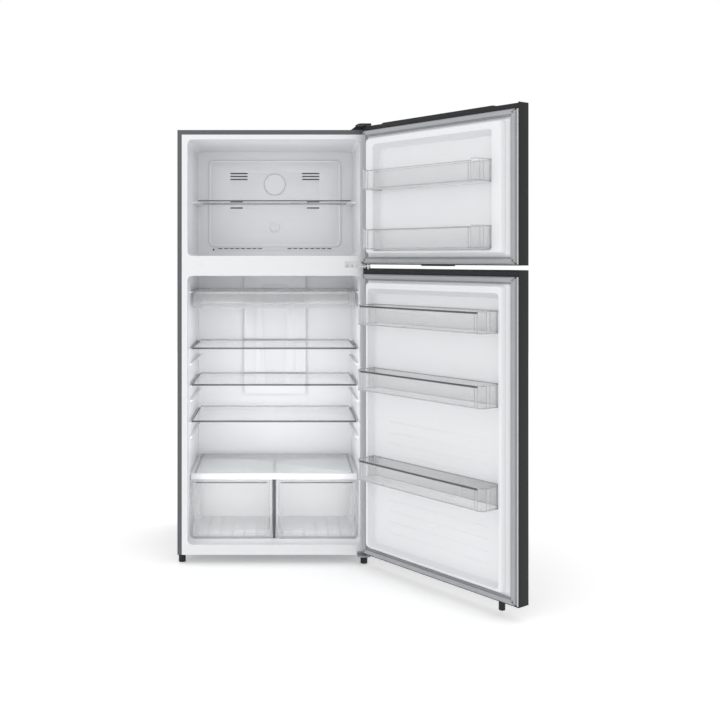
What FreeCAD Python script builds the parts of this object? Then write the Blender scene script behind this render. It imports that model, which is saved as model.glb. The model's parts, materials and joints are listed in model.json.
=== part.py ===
import FreeCAD, Part
import math
import os
from types import SimpleNamespace

import Sketcher

# Top freezer refrigerator with both doors standing open on their right-hand hinges.
# Millimetres, +Z up, +X to the right as the user faces the open front, +Y into the cabinet.
# The origin is on the floor under the middle of the cabinet's front plane.
# A door is drawn shut and then swung about its hinge pin to the opening angle.

DIMENSIONS = {
    "cabinet_width": (790, "cabinet and doors, side to side"),
    "cabinet_depth": (640, "cabinet, front plane to back panel"),
    "cabinet_bottom": (38, "floor to the base pan"),
    "cabinet_top": (1777, "floor to the top panel"),
    "sheet": (1, "sheet steel"),
    "side_flange": (18, "steel flange at each side of the front"),
    "top_flange": (19, "steel flange along the top of the front"),
    "liner": (2, "moulded liner wall"),
    "liner_corner": (20, "inside corner of the cavities"),
    "opening_width": (707, "both cavities, wall to wall"),
    "freezer_floor": (1262, "floor to the freezer cavity's floor"),
    "freezer_ceiling": (1738, "floor to the freezer cavity's ceiling"),
    "freezer_depth": (487, "front plane to the freezer's back wall"),
    "pocket_depth": (75, "evaporator pocket behind that wall"),
    "cover_lap": (6, "evaporator cover past its pocket"),
    "fresh_floor": (80, "floor to the fresh food cavity's floor"),
    "fresh_ceiling": (1180, "floor to the fresh food cavity's ceiling"),
    "fresh_depth": (545, "front plane to the fresh food back wall"),
    "hump_front": (455, "front plane to the hump over the compressor"),
    "hump_top": (335, "floor to the top of that hump"),
    "hump_wall": (32, "insulation between the hump and the bay"),
    "evaporator_cover_width": (588, "cover in the freezer's back wall"),
    "evaporator_cover_bottom": (1303, "floor to the cover's lower edge"),
    "evaporator_cover_top": (1692, "floor to the cover's upper edge"),
    "cover_wall": (6, "evaporator cover, front to back"),
    "vent_inner": (124.5, "middle to the vent slots' near end"),
    "vent_length": (80, "upper vent slot"),
    "low_vent_length": (58, "lower vent slot, measured from the far end"),
    "vent_height": (6, "slot opening"),
    "vent_pitch": (13.5, "upper slots apart"),
    "low_vent_pitch": (28, "lower slots apart"),
    "upper_vent_level": (1640, "top slot of the upper group"),
    "lower_vent_level": (1510, "top slot of the lower group"),
    "fan_level": (1589, "floor to the fan's axis"),
    "fan_radius": (50, "blade tip"),
    "cap_radius": (47.5, "round cap over the fan"),
    "knob_level": (1391.5, "floor to the air control knob"),
    "knob_radius": (20, "air control knob"),
    "stem_radius": (4, "knob stem and small shafts"),
    "running_gap": (0.05, "radial clearance of a turning fit"),
    "clearance": (0.3, "between parts that move past each other"),
    "freezer_shelf_width": (660, "glass freezer shelf"),
    "freezer_shelf_top": (1502, "floor to the freezer shelf"),
    "freezer_shelf_front": (220, "front plane to the freezer shelf"),
    "shelf_width": (692, "glass shelf"),
    "shelf_front": (97, "front plane to the shelf trims"),
    "shelf_back": (519, "front plane to the shelves' back edge"),
    "glass": (5, "shelf glass"),
    "shelf_first": (876.5, "floor to the top shelf"),
    "shelf_pitch": (153.3, "shelves apart"),
    "ledge_height": (8, "side ledge under a shelf"),
    "ledge_reach": (8, "ledge under the glass"),
    "crisper_cover_top": (351, "floor to the glass over the crispers"),
    "crisper_trim_drop": (24, "white trim below that glass"),
    "crisper_front": (85, "front plane to the crispers"),
    "crisper_depth": (361, "crisper drawer, front to back"),
    "crisper_gap": (7.5, "middle to each crisper"),
    "crisper_side_gap": (4, "crisper to the cavity's side wall"),
    "crisper_wall": (3, "crisper drawer wall"),
    "divider": (8, "rail between the crispers"),
    "tray_half_width": (340, "chiller tray, middle to side"),
    "tray_bottom": (1042, "floor to the chiller tray"),
    "tray_top": (1112, "floor to the chiller tray's rim"),
    "tray_flange": (8, "rim that runs on the side rails"),
    "duct_half_width": (143, "fresh air duct cover, middle to side"),
    "duct_bottom": (625, "floor to the duct cover"),
    "duct_depth": (23, "duct cover, front to back"),
    "lens_half_width": (62, "lamp lens in the duct cover"),
    "door_angle": (127.5, "opening angle of both doors"),
    "pin_side": (11, "hinge pin to the door's side"),
    "pin_ahead": (30, "hinge pin ahead of the front plane"),
    "pin_radius": (5, "hinge pins"),
    "door_gap": (12, "front plane to the doors' inner face"),
    "door_thickness": (57, "door, inner face to outer face"),
    "freezer_door_bottom": (1227, "floor to the freezer door"),
    "freezer_door_top": (1790, "floor to the freezer door's top"),
    "fridge_door_bottom": (53, "floor to the fridge door"),
    "fridge_door_top": (1211, "floor to the fridge door's top"),
    "cap_top": (24, "top end cap"),
    "cap_bottom": (20, "bottom end cap"),
    "cap_lip": (4, "bottom cap seen from inside"),
    "gasket_inset": (6, "gasket to the door's side"),
    "gasket_width": (22, "gasket"),
    "gasket_gap": (0.8, "gasket to the front plane, shut"),
    "dyke_inset": (48, "door liner's raised ring to the door's side"),
    "dyke_height": (33, "raised ring above the inner face"),
    "dyke_clearance": (6, "raised ring to the cavity above and below"),
    "dyke_rail": (14, "top and bottom of the raised ring"),
    "dyke_corner": (4, "inside corner of the raised ring"),
    "dyke_lift": (15, "lower door's raised ring above the cavity floor"),
    "bin_wall": (3, "door bin wall"),
    "bin_end_gap": (4, "door bin to the raised ring"),
    "freezer_bin_half": (297, "freezer door bin, middle to end"),
    "fridge_bin_half": (326, "fridge door bin, middle to end"),
    "freezer_bin_reach": (104, "freezer door bin from the inner face"),
    "fridge_bin_reach": (104, "fridge door bin from the inner face"),
    "bin_corner": (22, "front corners of the bins"),
    "hook": (4, "bin hook and its lug"),
    "hook_drop": (10, "lug below the bin's rim"),
    "hinge_plate": (4, "hinge arm steel"),
    "hinge_cover_width": (80, "cover on the top hinge"),
    "hinge_cover_height": (21, "that cover above the top panel"),
    "hinge_cover_front": (50, "that cover ahead of the front plane"),
    "hinge_cover_back": (70, "that cover behind the front plane"),
    "foot_radius": (14.5, "levelling foot"),
    "foot_height": (28, "levelling foot's pad"),
    "foot_stem": (5, "levelling foot's thread"),
    "left_foot_inset": (16, "left foot to the cabinet's side"),
    "right_foot_inset": (25, "right foot to the cabinet's side"),
    "left_foot_back": (40, "left foot behind the front plane"),
    "right_foot_back": (17, "right foot behind the front plane"),
    "roller_radius": (18, "rear roller"),
    "roller_width": (22, "rear roller"),
    "roller_inset": (55, "rear roller to the cabinet's side"),
    "roller_front": (40, "rear roller to the back"),
    "compressor_radius": (62, "compressor shell"),
    "compressor_height": (170, "compressor shell"),
    "compressor_place": (180, "middle to the compressor"),
    "peg_radius": (11.5, "support foot under the fridge door"),
    "peg_bottom": (15, "floor to that foot"),
    "peg_place": (694, "hinge side of the door to that foot"),
}
VENT_ROWS = 3
LOW_VENT_ROWS = 2
GRILLE_SLOTS = 8
SHELF_COUNT = 3
FIN_COUNT = 22
COIL_RUNS = 4
BLADE_COUNT = 5
DOOR_BINS = {"freezer": ((1286, 1368), (1520, 1600)), "fridge": ((382, 463), (734, 815), (991, 1070))}

doc = FreeCAD.newDocument("top_freezer_refrigerator")
sheet = doc.addObject("Spreadsheet::Sheet", "dims")
pieces = []


class Size:
    """A number together with the expression that keeps it bound to the sheet."""

    def __init__(self, value, text):
        self.value = value
        self.text = text

    def __add__(self, other):
        other = as_size(other)
        return Size(self.value + other.value, f"({self.text} + {other.text})")

    def __sub__(self, other):
        other = as_size(other)
        return Size(self.value - other.value, f"({self.text} - {other.text})")

    def __mul__(self, other):
        other = as_size(other)
        return Size(self.value * other.value, f"({self.text} * {other.text})")

    def __truediv__(self, other):
        other = as_size(other)
        return Size(self.value / other.value, f"({self.text} / {other.text})")

    def __radd__(self, other):
        return as_size(other) + self

    def __rsub__(self, other):
        return as_size(other) - self

    def __rmul__(self, other):
        return as_size(other) * self

    def __neg__(self):
        return as_size(0) - self


def as_size(number):
    """A Size as it is, or a plain number as a Size."""
    if isinstance(number, Size):
        return number
    return Size(float(number), f"({float(number)})")


def cosine(angle):
    return Size(math.cos(math.radians(angle.value)), f"cos({angle.text})")


def sine(angle):
    return Size(math.sin(math.radians(angle.value)), f"sin({angle.text})")


def fill_sheet():
    """Writes the driving dimensions and returns each one under its own name."""
    named = {}
    for row, (name, (value, note)) in enumerate(DIMENSIONS.items(), start=1):
        sheet.set(f"A{row}", note)
        sheet.set(f"B{row}", str(value))
        sheet.setAlias(f"B{row}", name)
        named[name] = Size(value, f"dims.{name}")
    return SimpleNamespace(**named)


def fix(sketch, kind, edge, end, size):
    """Holds one end of an edge at a distance from the sketch's origin."""
    size = as_size(size)
    index = sketch.addConstraint(Sketcher.Constraint(kind, -1, 1, edge, end, size.value))
    sketch.setExpression(f"Constraints[{index}]", size.text)


class Rect:
    """A rectangle, with round corners where a corner radius is given."""

    def __init__(self, left, right, low, high, corner=None):
        self.sides = [as_size(side) for side in (left, right, low, high)]
        self.corner = None if corner is None else as_size(corner)

    def draw(self, sketch):
        left, right, low, high = (side.value for side in self.sides)
        inset = self.corner.value if self.corner else 0.0
        first = sketch.GeometryCount
        ends = (
            ((left + inset, low), (right - inset, low)),
            ((right, low + inset), (right, high - inset)),
            ((right - inset, high), (left + inset, high)),
            ((left, high - inset), (left, low + inset)),
        )
        lines = [
            Part.LineSegment(FreeCAD.Vector(*start, 0), FreeCAD.Vector(*end, 0)) for start, end in ends
        ]
        sketch.addGeometry(lines, False)
        for edge, kind in enumerate(("Horizontal", "Vertical", "Horizontal", "Vertical")):
            sketch.addConstraint(Sketcher.Constraint(kind, first + edge))
        if self.corner:
            self.round(sketch, first, inset)
        else:
            for edge in range(4):
                following = first + (edge + 1) % 4
                sketch.addConstraint(Sketcher.Constraint("Coincident", first + edge, 2, following, 1))
        fix(sketch, "DistanceX", first + 3, 1, self.sides[0])
        fix(sketch, "DistanceX", first + 1, 1, self.sides[1])
        fix(sketch, "DistanceY", first, 1, self.sides[2])
        fix(sketch, "DistanceY", first + 2, 1, self.sides[3])

    def round(self, sketch, first, radius):
        left, right, low, high = (side.value for side in self.sides)
        centres = (
            (right - radius, low + radius),
            (right - radius, high - radius),
            (left + radius, high - radius),
            (left + radius, low + radius),
        )
        normal = FreeCAD.Vector(0, 0, 1)
        for edge, centre in enumerate(centres):
            circle = Part.Circle(FreeCAD.Vector(*centre, 0), normal, radius)
            start = math.radians(90 * edge - 90)
            arc = sketch.addGeometry(Part.ArcOfCircle(circle, start, start + math.pi / 2), False)
            following = first + (edge + 1) % 4
            sketch.addConstraint(Sketcher.Constraint("Tangent", first + edge, 2, arc, 1))
            sketch.addConstraint(Sketcher.Constraint("Tangent", arc, 2, following, 1))
            if edge:
                sketch.addConstraint(Sketcher.Constraint("Equal", first + 4, arc))
            else:
                index = sketch.addConstraint(Sketcher.Constraint("Radius", arc, radius))
                sketch.setExpression(f"Constraints[{index}]", self.corner.text)


class Disc:
    """A circle."""

    def __init__(self, across, up, radius):
        self.across = as_size(across)
        self.up = as_size(up)
        self.radius = as_size(radius)

    def draw(self, sketch):
        centre = FreeCAD.Vector(self.across.value, self.up.value, 0)
        circle = Part.Circle(centre, FreeCAD.Vector(0, 0, 1), self.radius.value)
        edge = sketch.addGeometry(circle, False)
        index = sketch.addConstraint(Sketcher.Constraint("Radius", edge, self.radius.value))
        sketch.setExpression(f"Constraints[{index}]", self.radius.text)
        fix(sketch, "DistanceX", edge, 3, self.across)
        fix(sketch, "DistanceY", edge, 3, self.up)


class Outline:
    """A closed line through the given points."""

    def __init__(self, *points):
        self.points = [(as_size(across), as_size(up)) for across, up in points]

    def draw(self, sketch):
        first = sketch.GeometryCount
        corners = [FreeCAD.Vector(across.value, up.value, 0) for across, up in self.points]
        count = len(corners)
        sketch.addGeometry(
            [Part.LineSegment(corners[i], corners[(i + 1) % count]) for i in range(count)], False
        )
        for i, (across, up) in enumerate(self.points):
            following = first + (i + 1) % count
            sketch.addConstraint(Sketcher.Constraint("Coincident", first + i, 2, following, 1))
            fix(sketch, "DistanceX", first + i, 1, across)
            fix(sketch, "DistanceY", first + i, 1, up)


class Piece:
    """A PartDesign body built from slabs, each an outline carried from low to high along an axis."""

    def __init__(self, label, kept=True):
        self.body = doc.addObject("PartDesign::Body", label)
        self.body.Label = label
        if kept:
            pieces.append(self.body)

    def sketch(self, plane, level, outlines):
        level = as_size(level)
        support = [o for o in self.body.Origin.OriginFeatures if o.Role == f"{plane}_Plane"][0]
        sketch = self.body.newObject("Sketcher::SketchObject", f"{self.body.Name}_outline")
        sketch.AttachmentSupport = [(support, "")]
        sketch.MapMode = "FlatFace"
        # the XZ plane's normal points to -Y
        offset = -level if plane == "XZ" else level
        sketch.setExpression(".AttachmentOffset.Base.z", offset.text)
        for outline in outlines:
            outline.draw(sketch)
        return sketch

    def slab(self, kind, plane, low, high, outlines, backwards):
        feature = self.body.newObject(f"PartDesign::{kind}", f"{self.body.Name}_{kind.lower()}")
        feature.Profile = self.sketch(plane, low, outlines)
        feature.Reversed = backwards
        feature.setExpression("Length", (as_size(high) - low).text)
        self.body.Tip = feature
        return self

    def add(self, plane, low, high, *outlines):
        return self.slab("Pad", plane, low, high, outlines, plane == "XZ")

    def cut(self, plane, low, high, *outlines):
        return self.slab("Pocket", plane, low, high, outlines, plane != "XZ")

    def turn(self, *outlines):
        """Spins outlines drawn in the XZ plane about the Z axis."""
        feature = self.body.newObject("PartDesign::Revolution", f"{self.body.Name}_turned")
        profile = self.sketch("XZ", 0, outlines)
        feature.Profile = profile
        feature.ReferenceAxis = (profile, ["V_Axis"])
        self.body.Tip = feature
        return self

    def move(self, across, back, up):
        for axis, distance in zip("xyz", (across, back, up)):
            self.body.setExpression(f".Placement.Base.{axis}", as_size(distance).text)
        return self


def swing(target):
    """Turns a piece drawn with the door shut about the hinge pin to the open angle."""
    turned_x = PIN_X * cosine(D.door_angle) - PIN_Y * sine(D.door_angle)
    turned_y = PIN_X * sine(D.door_angle) + PIN_Y * cosine(D.door_angle)
    target.setExpression(".Placement.Rotation.Angle", D.door_angle.text)
    target.setExpression(".Placement.Base.x", (PIN_X - turned_x).text)
    target.setExpression(".Placement.Base.y", (PIN_Y - turned_y).text)


def route(points, bend):
    """A wire of straight runs joined by tangent arcs of one radius."""
    edges = []
    start = points[0]
    for before, corner, after in zip(points, points[1:], points[2:]):
        inward = (before - corner).normalize()
        outward = (after - corner).normalize()
        half = inward.getAngle(outward) / 2
        reach = bend / math.tan(half)
        first = corner + inward * reach
        last = corner + outward * reach
        middle_way = (inward + outward).normalize()
        middle = corner + middle_way * (bend / math.sin(half) - bend)
        edges.append(Part.LineSegment(start, first).toShape())
        edges.append(Part.Arc(first, middle, last).toShape())
        start = last
    edges.append(Part.LineSegment(start, points[-1]).toShape())
    return Part.Wire(edges)


def rod(points, bend, radius):
    """A round rod along a bent route."""
    path = route(points, bend)
    circle = Part.Circle(points[0], points[1] - points[0], radius)
    return path.makePipeShell([Part.Wire(circle.toShape())], True, False)


def bent(label, *rods):
    """A sub-part made of bent rods, which no sketch feature gives more simply."""
    feature = doc.addObject("Part::Feature", label)
    feature.Label = label
    feature.Shape = rods[0] if len(rods) == 1 else Part.makeCompound(list(rods))
    pieces.append(feature)
    return feature


def grouped(label, *members):
    """One sub-part made of several objects of the document."""
    group = doc.addObject("Part::Compound", label)
    group.Label = label
    group.Links = list(members)
    pieces.append(group)
    return group


def mirrored(left, right, low, high, corner=None):
    """A rectangle and its mirror image across the middle."""
    return Rect(left, right, low, high, corner), Rect(-right, -left, low, high, corner)


D = fill_sheet()
HALF = D.cabinet_width / 2
INSIDE = HALF - D.sheet
OPENING = D.opening_width / 2
FLANGE = HALF - D.side_flange
PIN_X = HALF - D.pin_side
PIN_Y = -D.pin_ahead
DOOR_BACK = -D.door_gap
DOOR_FRONT = -D.door_gap - D.door_thickness
BAY_FRONT = D.hump_front + D.hump_wall
BAY_TOP = D.hump_top - D.hump_wall
POCKET_BACK = D.freezer_depth + D.pocket_depth
COVER_HALF = D.evaporator_cover_width / 2
COVER_FACE = D.freezer_depth - D.cover_wall
PAN_TOP = D.cabinet_bottom + D.sheet
FEET = {
    "left": (D.left_foot_inset - HALF, D.left_foot_back),
    "right": (HALF - D.right_foot_inset, D.right_foot_back),
}
ROLLER_Y = D.cabinet_depth - D.roller_front

# smaller sizes of the fittings
BOSS_RADIUS = as_size(11)
BOSS_HEIGHT = as_size(12)
EAR_DROP = as_size(8)
EAR_GAP = as_size(1.5)
EAR = as_size(3)
EAR_HALF = as_size(14)
DRAIN_DROP = as_size(28)
DRAIN_TAIL = as_size(120)
DRAIN_BEND = 14
DRAIN_RADIUS = 9
DRAIN_BORE = 7
STEM_ROOM = as_size(12)
CAP_DEPTH = as_size(7)
RING_DEPTH = as_size(4)
RING_WIDTH = as_size(5)
GRILLE_HALF = as_size(265)
GRILLE_MIDDLE = as_size(56)
GRILLE_HEIGHT = as_size(13)
GRILLE_EDGE = as_size(4)
COIL_HALF = as_size(262)
COIL_LOW = as_size(1345)
COIL_PITCH = as_size(34)
COIL_RADIUS = as_size(4)
FIN_HALF = as_size(225)
FIN_EDGE = as_size(17)
FIN_DEPTH = as_size(24)
FIN = as_size(0.8)
HEATER_RADIUS = as_size(4)
FAN_FRONT = as_size(502)
FAN_BACK = as_size(528)
MOTOR_RADIUS = as_size(24)
SHAFT = as_size(3)
HUB_RADIUS = as_size(14)
BLADE = as_size(2)
BLADE_CHORD = as_size(26)
KNOB_DEPTH = as_size(5)
SPARE_DROP = as_size(62)
TRIM = as_size(5)
JOIN = as_size(0.1)
LENS_EDGE = as_size(45)
TOP_ARM = as_size(1791)
HINGE_RECESS = as_size(5)
PIN_REACH = as_size(18)
HINGE_STEEL = as_size(3)
HINGE_FOOT = as_size(60)
LOUVRE_COLUMNS = 3
LOUVRE_ROWS = 6
GLAND_X = as_size(-365)
GLAND_Z = as_size(120)
MIDDLE_ARM = (D.freezer_door_bottom + D.fridge_door_top) / 2 - D.hinge_plate / 2
MIDDLE_PLATE = (PIN_X - 93, PIN_X - 19, MIDDLE_ARM - 4, MIDDLE_ARM + 21)
BOTTOM_ARM = D.cabinet_bottom + 2
ARM_LEFT = PIN_X - 44
ARM_FRONT = PIN_Y - 12
COLLAR = D.pin_radius + 3


def cabinet_sides():
    for name, side in (("left", -1), ("right", 1)):
        outer, inner, edge = HALF * side, INSIDE * side, FLANGE * side
        wall = (outer, inner) if side < 0 else (inner, outer)
        face = (outer, edge) if side < 0 else (edge, outer)
        panel = Piece(f"cabinet_side_{name}")
        panel.add("XY", D.cabinet_bottom, D.cabinet_top - D.sheet, Rect(*wall, 0, D.cabinet_depth))
        panel.add("XY", D.cabinet_bottom, D.cabinet_top - D.sheet, Rect(*face, 0, D.sheet))


def cabinet_top_panel():
    panel = Piece("cabinet_top_panel")
    panel.add("XY", D.cabinet_top - D.sheet, D.cabinet_top, Rect(-HALF, HALF, 0, D.cabinet_depth))
    low = D.cabinet_top - D.top_flange
    panel.add("XY", low, D.cabinet_top - D.sheet, Rect(-FLANGE, FLANGE, 0, D.sheet))


def cabinet_back_panel():
    panel = Piece("cabinet_back_panel")
    low = D.cabinet_depth - D.sheet
    panel.add("XZ", low, D.cabinet_depth, Rect(-INSIDE, INSIDE, BAY_TOP, D.cabinet_top - D.sheet))


def base_pan():
    """Steel tray under the cabinet, with foot bosses and the rear rollers' ears."""
    pan = Piece("pan_plate", kept=False)
    pan.add("XY", D.cabinet_bottom, PAN_TOP, Rect(-INSIDE, INSIDE, D.liner, D.cabinet_depth - D.sheet))
    parts = [pan]
    boss_top = PAN_TOP + BOSS_HEIGHT
    for across, back in FEET.values():
        stem_hole = Disc(across, back, D.foot_stem + D.running_gap)
        pan.cut("XY", D.cabinet_bottom, PAN_TOP, stem_hole)
        boss = Piece("foot_boss", kept=False)
        boss.add("XY", PAN_TOP, boss_top, Disc(across, back, BOSS_RADIUS), stem_hole)
        parts.append(boss)
    ear_low = D.roller_radius - EAR_DROP
    for side in (-1, 1):
        middle = (HALF - D.roller_inset) * side
        for end in (-1, 1):
            near = middle + (D.roller_width / 2 + EAR_GAP) * end
            far = near + EAR * end
            low, high = (far, near) if end < 0 else (near, far)
            bore = Disc(ROLLER_Y, D.roller_radius, D.stem_radius + D.running_gap)
            ear = Piece("roller_ear", kept=False)
            outline = Rect(ROLLER_Y - EAR_HALF, ROLLER_Y + EAR_HALF, ear_low, D.cabinet_bottom)
            ear.add("YZ", low, high, outline, bore)
            parts.append(ear)
    grouped("base_pan", *[part.body for part in parts])


def drain_points():
    """The melt water's way from the evaporator pocket, behind the fresh food liner, to the bay."""
    low = D.evaporator_cover_bottom + D.cover_lap
    back = (D.fresh_depth + D.cabinet_depth) / 2
    front = D.freezer_depth + D.pocket_depth / 2
    turn = low - DRAIN_DROP
    end = BAY_TOP - DRAIN_TAIL
    corners = ((front, low), (front, turn), (back, turn), (back, end))
    return [FreeCAD.Vector(0, y.value, z.value) for y, z in corners]


def foam_slab(name, across, back, up, cuts=()):
    """One block of the insulation, given by its ranges along X, Y and Z."""
    block = Piece(f"foam_{name}", kept=False)
    block.add("XY", up[0], up[1], Rect(*across, *back))
    for plane, low, high, outline in cuts:
        block.cut(plane, low, high, outline)
    return block.body


def cabinet_foam():
    """Insulation between the sheet metal and the liners, in blocks that meet face to face."""
    wall = D.liner
    wide = OPENING + wall
    front, back = wall, D.cabinet_depth - D.sheet
    low, high = PAN_TOP, D.cabinet_top - D.sheet
    floor, ceiling = D.freezer_floor - wall, D.freezer_ceiling + wall
    fresh_low, fresh_high = D.fresh_floor - wall, D.fresh_ceiling + wall
    middle = (-wide, wide)
    walls = {"left": (-INSIDE, -wide), "right": (wide, INSIDE)}
    recess = ("XZ", front, HINGE_RECESS, Rect(*MIDDLE_PLATE))
    holes = {
        name: ("XY", low, low + BOSS_HEIGHT + STEM_ROOM, Disc(across, at, BOSS_RADIUS + D.clearance))
        for name, (across, at) in FEET.items()
    }
    blocks = []
    for name, across in walls.items():
        upper_cuts = [recess] if name == "right" else []
        blocks.append(foam_slab(f"{name}_upper", across, (front, back), (BAY_TOP, high), upper_cuts))
        blocks.append(foam_slab(f"{name}_lower", across, (front, BAY_FRONT), (low, BAY_TOP), [holes[name]]))
    pocket = COVER_HALF - D.cover_lap + wall
    pocket_low = D.evaporator_cover_bottom + D.cover_lap - wall
    pocket_high = D.evaporator_cover_top - D.cover_lap + wall
    pocket_back = POCKET_BACK + wall
    beside = (D.freezer_depth + wall, pocket_back)
    hump_back, hump_low = D.hump_front + wall, D.hump_top - wall
    blocks += [
        foam_slab("top", middle, (front, back), (ceiling, high)),
        foam_slab("pocket_left", (-wide, -pocket), beside, (floor, ceiling)),
        foam_slab("pocket_right", (pocket, wide), beside, (floor, ceiling)),
        foam_slab("pocket_above", (-pocket, pocket), beside, (pocket_high, ceiling)),
        foam_slab("hump_front", middle, (hump_back, BAY_FRONT), (fresh_low, hump_low)),
        foam_slab("bottom", middle, (front, BAY_FRONT), (low, fresh_low), list(holes.values())),
    ]
    channel = doc.addObject("Part::Feature", "drain_channel")
    channel.Shape = rod(drain_points(), DRAIN_BEND, DRAIN_RADIUS)
    drained = [
        foam_slab("divider", middle, (front, back), (fresh_high, floor), [recess]),
        foam_slab("pocket_below", (-pocket, pocket), beside, (floor, pocket_low)),
        foam_slab("freezer_back", middle, (pocket_back, back), (floor, ceiling)),
        foam_slab("fresh_back", middle, (D.fresh_depth + wall, back), (hump_low, fresh_high)),
        foam_slab("hump_roof", middle, (BAY_FRONT, back), (BAY_TOP, hump_low)),
    ]
    for slab in drained:
        block = doc.addObject("Part::Cut", f"{slab.Name}_drained")
        block.Base = slab
        block.Tool = channel
        blocks.append(block)
    grouped("cabinet_foam", *blocks)


def pocket_outline(grow):
    """The evaporator pocket, a little smaller than the cover that shuts it."""
    half = COVER_HALF - D.cover_lap + grow
    low = D.evaporator_cover_bottom + D.cover_lap - grow
    high = D.evaporator_cover_top - D.cover_lap + grow
    return Rect(-half, half, low, high, D.liner_corner + grow)


def freezer_liner():
    liner = Piece("freezer_liner")
    wall = D.liner
    wide = OPENING + wall
    low, high = D.freezer_floor, D.freezer_ceiling
    liner.add(
        "XZ", wall, D.freezer_depth + wall,
        Rect(-wide, wide, low - wall, high + wall, D.liner_corner + wall),
    )
    liner.add("XZ", 0, wall, Rect(-FLANGE, FLANGE, low - wall, D.cabinet_top - D.top_flange))
    liner.add("XZ", D.freezer_depth, POCKET_BACK + wall, pocket_outline(wall))
    liner.cut("XZ", 0, D.freezer_depth, Rect(-OPENING, OPENING, low, high, D.liner_corner))
    liner.cut("XZ", D.freezer_depth, POCKET_BACK, pocket_outline(as_size(0)))
    drain_y = D.freezer_depth + D.pocket_depth / 2
    pocket_low = D.evaporator_cover_bottom + D.cover_lap
    liner.cut("XY", pocket_low - wall, pocket_low, Disc(0, drain_y, DRAIN_RADIUS))


def fresh_food_liner():
    liner = Piece("fresh_food_liner")
    wall = D.liner
    wide = OPENING + wall
    low, high = D.fresh_floor, D.fresh_ceiling
    corner = D.liner_corner
    liner.add(
        "XZ", wall, D.hump_front + wall, Rect(-wide, wide, low - wall, high + wall, corner + wall)
    )
    liner.add(
        "XZ", D.hump_front, D.fresh_depth + wall,
        Rect(-wide, wide, D.hump_top - wall, high + wall, corner + wall),
    )
    liner.add("XZ", 0, wall, Rect(-FLANGE, FLANGE, low, high + wall))
    liner.cut("XZ", 0, D.hump_front, Rect(-OPENING, OPENING, low, high, corner))
    liner.cut(
        "XZ", D.hump_front, D.fresh_depth, Rect(-OPENING, OPENING, D.hump_top, high, corner)
    )


def front_covers():
    """The cover of the divider between the cavities, and the panel along the bottom."""
    covers = Piece("front_cover_strips")
    low = D.fresh_ceiling + D.liner
    high = D.freezer_floor - D.liner
    covers.add("XZ", 0, D.liner, Rect(-FLANGE, FLANGE, low, high))
    covers.cut("XZ", 0, D.liner, Rect(*MIDDLE_PLATE))
    covers.add("XZ", 0, D.liner, Rect(-FLANGE, FLANGE, D.cabinet_bottom, D.fresh_floor))


def vents(cover, back, front):
    """Cuts the air slots on both sides of the evaporator cover."""
    far = D.vent_inner + D.vent_length
    for row in range(VENT_ROWS):
        level = D.upper_vent_level - D.vent_pitch * row
        slots = mirrored(D.vent_inner, far, level - D.vent_height / 2, level + D.vent_height / 2)
        cover.cut("XZ", front, back, *slots)
    for row in range(LOW_VENT_ROWS):
        level = D.lower_vent_level - D.low_vent_pitch * row
        near = far - D.low_vent_length
        slots = mirrored(near, far, level - D.vent_height / 2, level + D.vent_height / 2)
        cover.cut("XZ", front, back, *slots)


def evaporator_cover():
    cover = Piece("evaporator_cover")
    low, high = D.evaporator_cover_bottom, D.evaporator_cover_top
    cover.add(
        "XZ", COVER_FACE, D.freezer_depth, Rect(-COVER_HALF, COVER_HALF, low, high, D.liner_corner)
    )
    lip = D.cover_lap
    cover.cut(
        "XZ", COVER_FACE + D.liner, D.freezer_depth,
        Rect(lip - COVER_HALF, COVER_HALF - lip, low + lip, high - lip, D.liner_corner - lip),
    )
    vents(cover, D.freezer_depth, COVER_FACE)
    cover.cut(
        "XZ", COVER_FACE, D.freezer_depth, Disc(0, D.knob_level, D.stem_radius + D.running_gap)
    )
    cap = Piece("fan_cap")
    cap.add("XZ", COVER_FACE - CAP_DEPTH, COVER_FACE, Disc(0, D.fan_level, D.cap_radius))
    cap.add(
        "XZ", COVER_FACE - RING_DEPTH, COVER_FACE,
        Disc(0, D.fan_level, D.cap_radius + RING_WIDTH),
        Disc(0, D.fan_level, D.cap_radius + D.clearance),
    )


def return_air_grille():
    """The slotted strip under the evaporator cover, where the air goes back in."""
    grille = Piece("return_air_grille")
    high = D.evaporator_cover_bottom - D.clearance
    low = high - GRILLE_HEIGHT
    grille.add("XZ", COVER_FACE + D.liner, D.freezer_depth, Rect(-GRILLE_HALF, GRILLE_HALF, low, high))
    pitch = (GRILLE_HALF - GRILLE_MIDDLE) / GRILLE_SLOTS
    for slot in range(GRILLE_SLOTS):
        near = GRILLE_MIDDLE + pitch * slot
        openings = mirrored(near, near + pitch * 0.8, low + GRILLE_EDGE, high - GRILLE_EDGE)
        grille.cut("XZ", COVER_FACE + D.liner, D.freezer_depth, *openings)


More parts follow.
